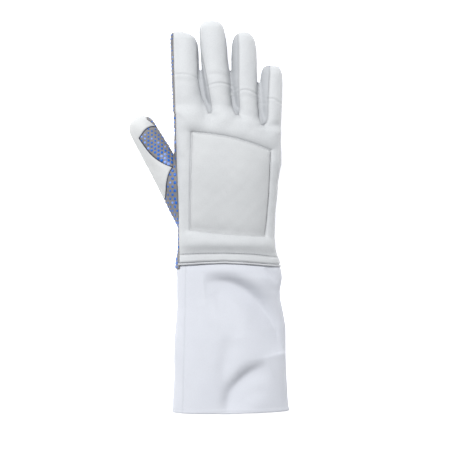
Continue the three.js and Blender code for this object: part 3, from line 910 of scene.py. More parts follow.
    def soften(self, mesh: bpy.types.Mesh) -> None:
        """Evens out the leather over the finger roots.

        Args:
            mesh: The form's mesh, which is changed.
        """
        points = read_points(mesh)
        low, high = self.knuckles
        y = points[:, 1] + self.knuckle_slant * np.maximum(points[:, 0], 0.0)
        weight = np.clip((y - low) / self.knuckle_ramp, 0.0, 1.0)
        weight *= np.clip((high - y) / self.knuckle_ramp, 0.0, 1.0)
        weight *= np.clip((points[:, 2] - self.knuckle_low) / self.knuckle_height, 0.0, 1.0)
        facing, ramp = self.knuckle_facing
        weight *= np.clip((read_normals(mesh)[:, 2] - facing) / ramp, 0.0, 1.0)
        ends = np.empty(len(mesh.edges) * 2, np.int32)
        mesh.edges.foreach_get("vertices", ends)
        one, two = ends.reshape(-1, 2).T
        both = np.concatenate([one, two])
        count = np.maximum(np.bincount(both, minlength=len(points)), 1)
        for _ in range(self.knuckle_rounds):
            sums = [np.bincount(both, np.concatenate([points[two, k], points[one, k]]), len(points))
                    for k in range(3)]
            middle = np.stack(sums, axis=1) / count[:, None]
            points += (middle - points) * (self.knuckle_pull * weight[:, None])
        write_points(mesh, points)

    def shape(self, mesh: bpy.types.Mesh) -> None:
        """Puffs the padding, presses the creases and lays the underside flat.

        Args:
            mesh: The form's mesh, which is changed.
        """
        points, normals = read_points(mesh), read_normals(mesh)
        up = np.clip(normals[:, 2] * self.top_gain, 0.0, 1.0)
        offset = (self.padding(points) + press(points, self.creases, self.ridge_place)) * up
        offset += self.ripple(points)
        points += normals * offset[:, None]
        points[:, 2] = np.maximum(points[:, 2], self.press)
        write_points(mesh, points)

    def padding(self, points: np.ndarray) -> np.ndarray:
        """How far the padding lifts each point of the back.

        Args:
            points: The points, one row each.

        Returns:
            The offset of each point along its normal.
        """
        outline = self.panel_outline()
        closed = outline + [outline[0]]
        to_groove = path_gap(points, closed)[0]
        in_panel = inside_plan(points, outline)
        in_frame = inside_plan(points, self.frame) & ~in_panel
        wrist, rest = self.frame[:self.wrist_corners], self.frame[self.wrist_corners - 1:]
        to_edge = path_gap(points, [*rest, self.frame[0]])[0]
        to_wrist = path_gap(points, wrist)[0]
        to_foot = path_gap(points, outline[:len(outline) // 4 + 1])[0]
        rise = 1.0 - np.exp(-to_groove / self.panel_reach)
        panel = self.panel_puff * rise
        panel -= self.foot_drop * np.exp(-to_foot / self.foot_reach) * rise
        frame = self.frame_puff * (1.0 - np.exp(-to_groove / self.frame_reach))
        frame *= 1.0 - np.exp(-((to_edge / self.edge_reach) ** 2))
        frame *= 1.0 - np.exp(-((to_wrist / self.wrist_reach) ** 2))
        return np.where(in_panel, panel, np.where(in_frame, frame, 0.0))

    @staticmethod
    def ripple(points: np.ndarray) -> np.ndarray:
        """A faint unevenness of the leather, from a few crossed waves.

        Args:
            points: The points, one row each.

        Returns:
            The offset of each point along its normal.
        """
        x, y, z = points.T
        broad = 0.10 * np.sin(x * 0.31 + 1.3 * np.sin(y * 0.07)) * np.sin(y * 0.23 + z * 0.2)
        fine = 0.07 * np.sin(y * 0.47 + 0.9 * np.sin(x * 0.19)) * np.cos(x * 0.41 - z * 0.33)
        return broad + fine


@dataclass
class Tailor:
    """Peels the sewn pieces off the hand's form, rolls their edges in and gives them a wall."""

    form: HandForm
    skin: bpy.types.Mesh
    shift: Vector
    wall: float = 1.7
    roll: float = 0.7
    roll_reach: float = 0.85
    seam_step: float = 0.25
    shortest_edge: float = 0.004
    neighbours: int = 4
    gap_floor: float = 0.02
    skins: dict[str, bpy.types.Mesh] = field(default_factory=dict)
    normals: dict[str, np.ndarray] = field(default_factory=dict)

    def __post_init__(self) -> None:
        """Keeps the whole form's normals, which the pieces share along their seams."""
        self.rest = self.skin.copy()
        self.form_normals = read_normals(self.skin)
        points = read_points(self.skin)
        self.form_tree = KDTree(len(points))
        for i, point in enumerate(points):
            self.form_tree.insert(point, i)
        self.form_tree.balance()

    def drop(self, zone: bpy.types.Mesh) -> None:
        """Cuts a zone off the rest of the form and throws it away."""
        self.rest = boolean(self.rest, zone, "DIFFERENCE")

    def peel(self, name: str, zone: bpy.types.Mesh | None, smallest: int) -> bpy.types.Mesh:
        """Takes one piece off the rest of the form.

        Args:
            name: The piece's name.
            zone: The closed solid that holds the piece, or None for all that is left.
            smallest: The fewest vertices of a loose part that is kept.

        Returns:
            The piece's open skin, with its edges rolled in.
        """
        if zone is None:
            mesh = self.rest
        else:
            mesh = boolean(self.rest, zone, "INTERSECT")
            self.drop(zone)
        bm = bmesh.new()
        bm.from_mesh(mesh)
        bmesh.ops.delete(bm, geom=[face for face in bm.faces if face.material_index == 1], context="FACES")
        bmesh.ops.dissolve_degenerate(bm, edges=bm.edges[:], dist=self.shortest_edge)
        self.drop_scraps(bm, smallest)
        self.roll_edges(bm, name)
        mesh = mesh_from(bm, name)
        self.skins[name] = mesh
        return mesh

    def normal_at(self, point: Vector) -> Vector:
        """The form's normal at a point, from the vertices around it.

        Args:
            point: The point.

        Returns:
            The unit normal.
        """
        total = Vector((0, 0, 0))
        for _, index, gap in self.form_tree.find_n(point, self.neighbours):
            total += Vector(self.form_normals[index]) / (gap + self.gap_floor)
        return total.normalized()

    def roll_edges(self, bm: bmesh.types.BMesh, name: str) -> None:
        """Sinks a piece towards its seams, keeps each vertex's nearness to them for a painted shade along
        the seams, and works out its smooth normals.

        Args:
            bm: The piece, whose open edges are its seams.
            name: The piece's name, under which the normals are kept.
        """
        marks = []
        for edge in bm.edges:
            if edge.is_boundary:
                a, b = (vert.co for vert in edge.verts)
                count = max(1, math.ceil((b - a).length / self.seam_step))
                marks.extend(a.lerp(b, k / count) for k in range(count + 1))
        tree = KDTree(max(1, len(marks)))
        for i, mark in enumerate(marks):
            tree.insert(mark, i)
        tree.balance()
        layer = bm.verts.layers.float.new("seam")
        normals = np.zeros((len(bm.verts), 3))
        for i, vert in enumerate(bm.verts):
            normal = self.normal_at(vert.co)
            mark, _, gap = tree.find(vert.co)
            near = math.exp(-((gap / self.roll_reach) ** 2))
            # The nearness darkens the finish near the seams as painted shade, and keeps the dots off the
            # seams.
            vert[layer] = near
            if gap > TOUCHING:
                away = (vert.co - mark) / gap
                slope = 2.0 * gap * self.roll / self.roll_reach ** 2 * near
                leaning = (normal - away * slope).normalized()
            else:
                leaning = normal
            vert.co -= normal * (self.roll * near)
            normals[i] = leaning
        self.normals[name] = normals

    @staticmethod
    def drop_scraps(bm: bmesh.types.BMesh, smallest: int) -> None:
        """Deletes the loose parts of a bmesh that have too few vertices.

        Args:
            bm: The bmesh.
            smallest: The fewest vertices of a part that is kept.
        """
        left, stray = set(bm.verts), []
        while left:
            front = [left.pop()]
            part = list(front)
            while front:
                for edge in front.pop().link_edges:
                    for vert in edge.verts:
                        if vert in left:
                            left.discard(vert)
                            part.append(vert)
                            front.append(vert)
            if len(part) < smallest:
                stray.extend(part)
        LOG.info("%d vertices in scraps, of %d", len(stray), len(bm.verts))
        bmesh.ops.delete(bm, geom=stray, context="VERTS")

    def finish(self, mesh: bpy.types.Mesh, name: str, wall: float = 0.0,
               normals: np.ndarray | None = None) -> bpy.types.Object:
        """Moves a mesh into the row frame, gives it a wall and makes its object.

        Args:
            mesh: The mesh, in millimetres in the glove's frame.
            name: The object's name.
            wall: The wall's thickness in millimetres, 0 for a mesh that is already closed.
            normals: The outer skin's smooth normals, if they are known.

        Returns:
            The object, which rides on the root body.
        """
        mesh.transform(Matrix.Scale(MM, 4) @ Matrix.Translation(self.shift))
        if wall > 0:
            mesh = with_modifiers(mesh, ("SOLIDIFY", {"thickness": wall * MM, "offset": -1.0}))
        mesh.name = name
        mesh.materials.clear()
        for each in mesh.polygons:
            each.material_index = 0
        mesh.shade_smooth()
        if normals is not None and len(mesh.vertices) == 2 * len(normals):
            mesh.normals_split_custom_set_from_vertices(np.concatenate([normals, -normals]).tolist())
        made = bpy.data.objects.new(name, mesh)
        bpy.context.scene.collection.objects.link(made)
        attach(made, ROOT_BODY)
        return made


@dataclass
class Zones:
    """The closed solids that part the hand's form into its sewn pieces."""

    form: HandForm
    root_line: Plan = ((-120.0, 142.0), (-14.7, 142.6), (11.9, 141.2), (33.7, 131.8), (54.0, 128.0),
                       (120.0, 128.0))
    back_edge: Plan = ((-44.6, -60.0), (-44.6, 10.0), (-44.8, 34.0), (-45.6, 63.6), (-46.5, 84.5),
                       (-47.0, 99.0), (-47.6, 115.0), (-47.7, 127.0), (-47.9, 150.0))
    patch: Plan = ((-50.6, 92.1), (-56.8, 94.3), (-65.1, 99.0), (-72.3, 105.2), (-78.9, 113.9),
                   (-82.6, 119.3), (-77.0, 127.0), (-71.3, 130.6), (-66.0, 130.6))
    tip_strip: Plan = ((-76.4, 142.0), (-74.6, 137.6), (-71.0, 135.0), (-67.4, 131.9), (-64.0, 127.0),
                       (-50.0, 127.0), (-50.0, 145.0))
    thenar: Plan = ((-50.6, 92.2), (-54.2, 85.6), (-56.3, 77.3), (-57.0, 69.0), (-57.6, 63.4),
                    (-59.6, 58.0), (-64.0, 52.0))
    crotch: Plan = ((-50.0, 109.0), (-58.0, 135.0))
    thumb_foot: float = 34.0
    thumb_seam: float = 7.0
    band_top: Plan = ((-60.0, 8.4), (-44.0, 8.8), (-20.0, 9.8), (0.0, 10.0), (26.0, 9.0), (40.0, 7.4),
                      (60.0, 5.4))
    band_foot: Plan = ((-60.0, 0.8), (-44.7, 1.4), (-22.0, 2.8), (-1.0, 3.4), (22.0, 2.3),
                       (49.4, -0.4), (60.0, -1.0))
    palm_foot: float = -4.8
    overlap: float = 0.6
    web_low: float = 5.0
    web_lap: float = 5.0
    slit_back: float = 4.0
    slit_length: float = 22.0
    slit_lap: float = 0.2
    slit_least: float = 0.6
    slit_points: int = 10
    parting: tuple[float, float] = (110.0, 6.0)
    parting_points: int = 12
    heights_from: float = 100.0
    heights_points: int = 14
    heights_fade: tuple[float, float] = (4.0, 16.0)
    seam_step: float = 6.0
    finger_foot: float = 90.0
    front_lap: float = 0.01
    side_stretch: float = 1.1
    side_drop: float = 1.5
    thumb_lap: float = 4.0
    thumb_head: float = 100.0
    patch_step: float = 3.0
    patch_far: tuple[float, float] = (-30.0, 140.0)
    patch_lap: float = 0.1
    patch_corner: int = 5

    def beyond_line(self, line: Plan, ahead: bool, margin: float = 0.0) -> bpy.types.Mesh:
        """The solid on one side of a plan line that runs across the glove, grown by a margin.

        Args:
            line: The plan line, from left to right.
            ahead: Whether the solid lies ahead of the line.
            margin: How far the solid reaches past the line.

        Returns:
            The solid.
        """
        way = 1.0 if ahead else -1.0
        moved = [(x, y - way * margin) for x, y in line]
        return plan_prism(moved + [(line[-1][0], way * FAR), (line[0][0], way * FAR)])

    def between_fingers(self, index: int) -> list[tuple[float, float]]:
        """The plan line midway between a finger and the next.

        Args:
            index: The number of the finger, from the index finger on.

        Returns:
            The line's points, from the hand outwards.
        """
        first, second = FINGERS[index], FINGERS[index + 1]
        start, short = self.parting
        line = []
        for y in np.linspace(start, min(first.tip, second.tip) - short, self.parting_points):
            edges = look_up(first.edges, "right", y), look_up(second.edges, "left", y)
            line.append((0.5 * sum(edges), float(y)))
        return line + [(line[-1][0], FAR)]

    def finger(self, index: int, margin: float = 0.0) -> bpy.types.Mesh:
        """The plan zone of one finger, ahead of the finger roots.

        Args:
            index: The number of the finger, from the index finger on.
            margin: How far the zone reaches behind the finger roots.

        Returns:
            The zone.
        """
        left, right = [(-FAR, self.parting[0]), (-FAR, FAR)], [(FAR, self.parting[0]), (FAR, FAR)]
        if index > 0:
            left = self.between_fingers(index - 1)
        if index < len(FINGERS) - 1:
            right = self.between_fingers(index)
        ahead = self.beyond_line(self.root_line, True, margin)
        return all_of(plan_prism([*left, *reversed(right)]), ahead)

    def heights(self, finger: Finger, share: float) -> list[tuple[float, float]]:
        """A line of heights along a finger, at a share of its half depth that fades towards its tip.

        Args:
            finger: The finger.
            share: The share of the half depth, negative below the middle line.

        Returns:
            The line's points, as y and height.
        """
        line = []
        end, run = self.heights_fade
        for y in np.linspace(self.heights_from, finger.tip, self.heights_points):
            fade = min(1.0, max(0.0, (finger.tip - end - y) / run))
            line.append((float(y), finger.centre_height(y) + share * fade * finger.half_depth(y)))
        return line + [(FAR, line[-1][1])]

    def back_of(self, finger: Finger) -> bpy.types.Mesh:
        """The zone of a finger's back: right of its plan seam and above its side seam.

        Args:
            finger: The finger.

        Returns:
            The zone.
        """
        seam, foot = smooth_path(finger.seam, self.seam_step), self.finger_foot
        plan = plan_prism([(seam[0][0], foot), *seam, (seam[-1][0], FAR), (FAR, FAR), (FAR, foot)])
        line = self.heights(finger, finger.little_seam)
        return all_of(plan, side_prism(line + [(FAR, FAR), (line[0][0], FAR)]))

    def front_of(self, index: int) -> bpy.types.Mesh:
        """The zone under a finger, up to its gussets or to its back where it has none.

        Args:
            index: The number of the finger, from the index finger on.

        Returns:
            The zone.
        """
        finger, halves = FINGERS[index], []
        middle = finger.middle(0.5 * (finger.web + finger.tip))
        has_gusset = (index > 0, index < len(FINGERS) - 1)
        for gusset, left, right in zip(has_gusset, (-FAR, middle - self.front_lap), (middle, FAR)):
            line = [(self.finger_foot, FAR), (FAR, FAR)]
            if gusset:
                line = self.heights(finger, finger.front_seam)
            halves.append(side_prism([*line, (FAR, -FAR), (line[0][0], -FAR)], left, right))
        return all_of(self.finger(index), any_of(*halves))

    def gusset(self, index: int) -> bpy.types.Mesh:
        """The zone between the middles of a finger and the next.

        Args:
            index: The number of the finger, from the index finger on.

        Returns:
            The zone.
        """
        left, right = (f.middle(0.5 * (f.web + f.tip)) for f in FINGERS[index:index + 2])
        outline = [(left, self.finger_foot), (right, self.finger_foot), (right, FAR), (left, FAR)]
        ahead = self.beyond_line(self.root_line, True, self.web_lap)
        web = all_of(plan_prism(outline, self.web_low), ahead)
        return any_of(all_of(plan_prism(outline), self.beyond_line(self.root_line, True)), web)

    def back(self) -> bpy.types.Mesh:
        """The zone of the back of the hand: right of its plan edge and above the side seam.

        Returns:
            The zone.
        """
        edge = list(self.back_edge)
        plan = plan_prism([*edge, (FAR, edge[-1][1]), (FAR, edge[0][1])])
        line = [(row.y * self.side_stretch, row.waist - self.side_drop) for row in self.form.rows]
        return all_of(plan, side_prism([*line, (line[-1][0], FAR), (line[0][0], FAR)]))

    def glove_back(self) -> bpy.types.Mesh:
        """The zone of the white leather over the hand and the backs of the fingers.

        Returns:
            The zone.
        """
        fingers = [all_of(self.finger(i, self.overlap), self.back_of(f)) for i, f in enumerate(FINGERS)]
        whole = any_of(all_of(self.back(), self.beyond_line(self.root_line, False)), *fingers)
        return without(whole, *[self.slit(i) for i in range(len(FINGERS) - 1)])

    def slit(self, index: int) -> bpy.types.Mesh:
        """The zone of the slit between a finger and the next, ahead of the finger roots.

        Args:
            index: The number of the finger, from the index finger on.

        Returns:
            The zone.
        """
        first, second = FINGERS[index], FINGERS[index + 1]
        foot, head = min(first.web, second.web) - self.slit_back, second.web + self.slit_length
        stops = np.linspace(foot, head, self.slit_points).tolist()
        left = [(look_up(first.edges, "right", y) - self.slit_lap, y) for y in stops]
        right = [(max(look_up(second.edges, "left", y), x + self.slit_least) + self.slit_lap, y)
                 for x, y in left]
        return all_of(plan_prism([*left, *reversed(right)]), self.beyond_line(self.root_line, True))

    def white_thumb(self) -> bpy.types.Mesh:
        """The zone of the thumb's white leather, seen from above.

        Returns:
            The zone.
        """
        low, high = self.thumb_foot - self.thumb_lap, self.thumb_head
        hand = [(x, y) for x, y in self.back_edge if low < y < high]
        side = plan_prism([(-FAR, self.thumb_foot), (hand[0][0], self.thumb_foot), *hand[1:], *self.crotch,
                           (self.crotch[-1][0], FAR), (-FAR, FAR)], self.thumb_seam)
        corner, step = self.patch_corner, self.patch_step
        patch = smooth_path(self.patch[:corner + 1], step)[:-1]
        patch += smooth_path(self.patch[corner:], step)
        arc = smooth_path(self.thenar, step)
        right, head = self.patch_far
        return without(
            side,
            plan_prism([*patch, (right, head), (right, patch[0][1])]),
            plan_prism([*arc, (arc[-1][0], 0.0), (0.0, 0.0), (0.0, arc[0][1])]),
            plan_prism(self.tip_strip),
        )

    def thumb_side(self) -> bpy.types.Mesh:
        """The zone of the whole thumb above the seam that crosses its root.

        Returns:
            The zone.
        """
        foot = self.patch[0][1] + self.patch_lap
        right = [(self.crotch[0][0], foot), *self.crotch, (self.crotch[-1][0], FAR)]
        return plan_prism([(-FAR, foot), *right, (-FAR, FAR)])


@dataclass(frozen=True)
class Cloth:
    """A procedural finish: its colours, its grain and its sheen."""

    name: str
    light: Colour
    dark: Colour
    roughness: float
    grain: float
    bump: float
    weave: float = 0.0
    sheen: float = 0.0
    # How far the colour is darkened next to the seams, as painted shade.
    seam_shade: float = 0.16
    specular: float = 0.35
    patch_scale: float = 26.0
    patch_detail: float = 3.0
    patch_stops: tuple[float, float] = (0.32, 0.68)
    grain_detail: float = 5.0
    grain_stops: tuple[float, float] = (0.3, 0.6)
    grain_dark: Colour = (0.9, 0.9, 0.9)
    grain_share: float = 0.6
    gloss_spread: float = 0.07
    thread_wander: float = 0.6
    relief: float = 0.0004

    def build(self) -> bpy.types.Material:
        """The material, from noise grain, an optional weave and a painted shade along the seams.

        Returns:
            The material.
        """
        material = bpy.data.materials.new(self.name)
        material.use_nodes = True
        tree = material.node_tree
        shader = tree.nodes["Principled BSDF"]
        shader.inputs["Sheen Weight"].default_value = self.sheen
        shader.inputs["Specular IOR Level"].default_value = self.specular
        place = tree.nodes.new("ShaderNodeTexCoord").outputs["Object"]
        fine = self.noise(tree, place, self.grain, self.grain_detail)
        tree.links.new(self.colour(tree, place, fine), shader.inputs["Base Color"])
        tree.links.new(self.gloss(tree, fine), shader.inputs["Roughness"])
        tree.links.new(self.surface(tree, place, fine), shader.inputs["Normal"])
        return material

    @staticmethod
    def noise(tree: bpy.types.NodeTree, place: Socket, scale: float, detail: float) -> Socket:
        """A noise of the piece's own place.

        Args:
            tree: The material's node tree.
            place: The place on the piece.
            scale: How many patches there are to a metre.
            detail: How many finer noises are laid over it.

        Returns:
            The noise's value.
        """
        node = tree.nodes.new("ShaderNodeTexNoise")
        node.inputs["Scale"].default_value = scale
        node.inputs["Detail"].default_value = detail
        tree.links.new(place, node.inputs["Vector"])
        return node.outputs["Fac"]

    @staticmethod
    def ramp(tree: bpy.types.NodeTree, value: Socket, stops: tuple[float, float],
             low: Colour, high: Colour) -> Socket:
        """A run from one colour to another.

        Args:
            tree: The material's node tree.
            value: What drives the colour.
            stops: The values where the run starts and ends.
            low: The colour at the start.
            high: The colour at the end.

        Returns:
            The colour.
        """
        node = tree.nodes.new("ShaderNodeValToRGB")
        for element, stop, colour in zip(node.color_ramp.elements, stops, (low, high)):
            element.position = stop
            element.color = (*colour, 1.0)
        tree.links.new(value, node.inputs["Fac"])
        return node.outputs["Color"]

    @staticmethod
    def spread(tree: bpy.types.NodeTree, value: Socket, low: float, high: float) -> Socket:
        """A value from 0 to 1, spread over a range.

        Args:
            tree: The material's node tree.
            value: The value.
            low: What 0 becomes.
            high: What 1 becomes.

        Returns:
            The new value.
        """
        node = tree.nodes.new("ShaderNodeMapRange")
        node.inputs["To Min"].default_value = low
        node.inputs["To Max"].default_value = high
        tree.links.new(value, node.inputs["Value"])
        return node.outputs["Result"]

    def colour(self, tree: bpy.types.NodeTree, place: Socket, fine: Socket) -> Socket:
        """Broad patches of light and dark, a fine speckle, and a painted shade along the seams.

        Args:
            tree: The material's node tree.
            place: The place on the piece.
            fine: The grain's noise.

        Returns:
            The colour.
        """
        patches = self.noise(tree, place, self.patch_scale, self.patch_detail)
        broad = self.ramp(tree, patches, self.patch_stops, self.dark, self.light)
        speckle = self.ramp(tree, fine, self.grain_stops, self.grain_dark, (1.0, 1.0, 1.0))
        mixed = tree.nodes.new("ShaderNodeMix")
        mixed.data_type = "RGBA"
        mixed.blend_type = "MULTIPLY"
        mixed.inputs["Factor"].default_value = self.grain_share
        first, second = (socket for socket in mixed.inputs if socket.type == "RGBA")
        tree.links.new(broad, first)
        tree.links.new(speckle, second)
        # Painted shade: the colour darkens by up to seam_shade where the seam layer is near 1.
        seam = tree.nodes.new("ShaderNodeAttribute")
        seam.attribute_name = "seam"
        shaded = tree.nodes.new("ShaderNodeVectorMath")
        shaded.operation = "SCALE"
        grained = next(socket for socket in mixed.outputs if socket.type == "RGBA")
        shade = self.spread(tree, seam.outputs["Fac"], 1.0, 1.0 - self.seam_shade)
        tree.links.new(grained, shaded.inputs[0])
        tree.links.new(shade, shaded.inputs["Scale"])
        return shaded.outputs["Vector"]

    def gloss(self, tree: bpy.types.NodeTree, fine: Socket) -> Socket:
        """The roughness, which the grain varies."""
        low, high = self.roughness - self.gloss_spread, self.roughness + self.gloss_spread
        return self.spread(tree, fine, low, high)

    def surface(self, tree: bpy.types.NodeTree, place: Socket, fine: Socket) -> Socket:
        """The relief of the grain and of the crossed threads, where the finish has any.

        Args:
            tree: The material's node tree.
            place: The place on the piece.
            fine: The grain's noise.

        Returns:
            The shading normal.
        """
        height = fine
        if self.weave > 0:
            crossed = tree.nodes.new("ShaderNodeMath")
            crossed.operation = "MULTIPLY"
            for way, socket in zip(("X", "Y"), crossed.inputs):
                wave = tree.nodes.new("ShaderNodeTexWave")
                wave.bands_direction = way
                wave.inputs["Scale"].default_value = self.weave
                wave.inputs["Distortion"].default_value = self.thread_wander
                tree.links.new(place, wave.inputs["Vector"])
                tree.links.new(wave.outputs["Fac"], socket)
            both = tree.nodes.new("ShaderNodeMath")
            both.operation = "ADD"
            tree.links.new(crossed.outputs[0], both.inputs[0])
            tree.links.new(fine, both.inputs[1])
            height = both.outputs[0]
        bump = tree.nodes.new("ShaderNodeBump")
        bump.inputs["Strength"].default_value = self.bump
        bump.inputs["Distance"].default_value = self.relief
        tree.links.new(height, bump.inputs["Height"])
        return bump.outputs["Normal"]


FINISHES = {
    "back": Cloth(
        "white_sheepskin", light=(0.58, 0.595, 0.61), dark=(0.545, 0.56, 0.577),
        roughness=0.62, grain=900.0, bump=0.22, sheen=0.05,
    ),
    "pad": Cloth(
        "panel_sheepskin", light=(0.575, 0.588, 0.60), dark=(0.535, 0.548, 0.56),
        roughness=0.74, grain=1150.0, bump=0.32, sheen=0.05,
    ),
    "thumb": Cloth(
        "thumb_sheepskin", light=(0.63, 0.64, 0.642), dark=(0.59, 0.60, 0.605),
        roughness=0.6, grain=900.0, bump=0.2, sheen=0.05,
    ),
    # The same white leather as the back, painted darker as the shade that falls between the fingers.
    "gusset": Cloth(
        "gusset_sheepskin_painted_shade", light=(0.44, 0.455, 0.475), dark=(0.40, 0.415, 0.436),
        roughness=0.66, grain=900.0, bump=0.22,
    ),
    "grip": Cloth(
        "grip_knit", light=(0.31, 0.30, 0.30), dark=(0.19, 0.19, 0.20),
        roughness=0.8, grain=1500.0, bump=0.5, weave=420.0, seam_shade=0.3,
    ),
    "cuff": Cloth(
        "cuff_twill", light=(0.63, 0.648, 0.70), dark=(0.605, 0.623, 0.678),
        roughness=0.78, grain=1700.0, bump=0.15, weave=520.0, sheen=0.06,
    ),
    "piping": Cloth(
        "piping_cover", light=(0.57, 0.58, 0.60), dark=(0.50, 0.51, 0.53),
        roughness=0.7, grain=1500.0, bump=0.3,
    ),
    "binding": Cloth(
        "navy_binding", light=(0.03, 0.045, 0.10), dark=(0.018, 0.027, 0.065),
        roughness=0.7, grain=1800.0, bump=0.4, seam_shade=0.0,
    ),
    "dots": Cloth(
        "blue_rubber", light=(0.025, 0.16, 0.62), dark=(0.02, 0.12, 0.5),
        roughness=0.38, grain=600.0, bump=0.05, seam_shade=0.0,
    ),
    # Paler blue dots: painted highlights near the thumb patch's lower-left edge, and randomly paler dots
    # elsewhere.
    "pale_and_highlight_dots": Cloth(
        "pale_rubber_and_highlight", light=(0.25, 0.38, 0.82), dark=(0.17, 0.30, 0.75),
        roughness=0.38, grain=600.0, bump=0.05, seam_shade=0.0,
    ),
    "thread": Cloth(
        "sewing_thread", light=(0.46, 0.47, 0.50), dark=(0.38, 0.39, 0.42),
        roughness=0.75, grain=2500.0, bump=0.3, seam_shade=0.0,
    ),
}


@dataclass
class Wardrobe:
    """Makes each finish once and gives it to the pieces."""

    made: dict[str, bpy.types.Material] = field(default_factory=dict)

    def dress(self, piece: bpy.types.Object, finish: str, slot: Slot) -> bpy.types.Object:
        """Gives a piece its finish.

        Args:
            piece: The piece.
            finish: The finish's name.
            slot: The record's slot; not used.

        Returns:
            The piece.
        """
        if finish not in self.made:
            self.made[finish] = FINISHES[finish].build()
        piece.data.materials.clear()
        piece.data.materials.append(self.made[finish])
        return piece


@dataclass
class Hand:
    """The sewn pieces of the back, palm, fingers and thumb."""

    tailor: Tailor
    zones: Zones
    wardrobe: Wardrobe
    wrist_left: float = -40.0
    panel_low: float = 22.0
    crumb: int = 4

    def piece(self, name: str, zone: bpy.types.Mesh | None, finish: str, slot: Slot,
              nodes: Sequence[str] = (), smallest: int = 120) -> bpy.types.Object:
        """Peels, walls and dresses one piece.

        Args:
            name: The piece's name, which is the node's too unless others are named.
            zone: The closed solid that holds the piece, or None for all that is left.
            finish: The finish's name.
            slot: The record's slot.
            nodes: The nodes that the piece stands for.
            smallest: The fewest vertices of a loose part that is kept.

        Returns:
            The object.
        """
        skin = self.tailor.peel(name, zone, smallest)
        made = self.tailor.finish(skin.copy(), name + "_skin", self.tailor.wall, self.tailor.normals[name])
        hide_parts(*(nodes or (name,)))
        self.wardrobe.dress(made, finish, slot)
        LOG.info("%s: %d faces", name, len(made.data.polygons))
        return made

    def build(self) -> None:
        """Makes every sewn piece of the hand. The leather back is what the others leave."""
        zones, foot = self.zones, self.zones.palm_foot
        self.tailor.drop(plan_prism([(-FAR, -FAR), (FAR, -FAR), (FAR, foot), (-FAR, foot)]))
        left = self.wrist_left
        wrist = plan_prism([(left, -FAR), (FAR, -FAR), (FAR, FAR), (left, FAR)])
        self.tailor.drop(all_of(any_of(zones.back(), wrist), zones.beyond_line(zones.band_foot, False)))
        band = all_of(zones.back(), zones.beyond_line(zones.band_top, False))
        self.piece("wrist_band", band, "back", Slot.BACK)
        inside = plan_prism(self.tailor.form.panel_outline(), self.panel_low)
        panel = self.piece("back_pad", inside, "pad", Slot.PAD)
        back = zones.glove_back()
        self.piece("thumb_back", without(zones.white_thumb(), back), "thumb", Slot.BACK)
        self.piece("thumb_grip", without(zones.thumb_side(), back), "grip", Slot.GRIP)
        for i, finger in enumerate(FINGERS):
            self.piece(finger.name + "_front", without(zones.front_of(i), back), "grip", Slot.GRIP)
        for i, (first, second) in enumerate(zip(FINGERS, FINGERS[1:])):
            name = f"{first.name}_{second.name}_gusset"
            # The gussets take the darker finish, which is painted shade.
            self.piece(name, without(zones.gusset(i), back), "gusset", Slot.GUSSET)
        self.piece("palm", without(zones.beyond_line(zones.root_line, False), back), "grip", Slot.GRIP)
        backs = ["hand_back"] + [finger.name + "_back" for finger in FINGERS]
        leather = self.piece("glove_back", None, "back", Slot.BACK, backs, smallest=self.crumb)


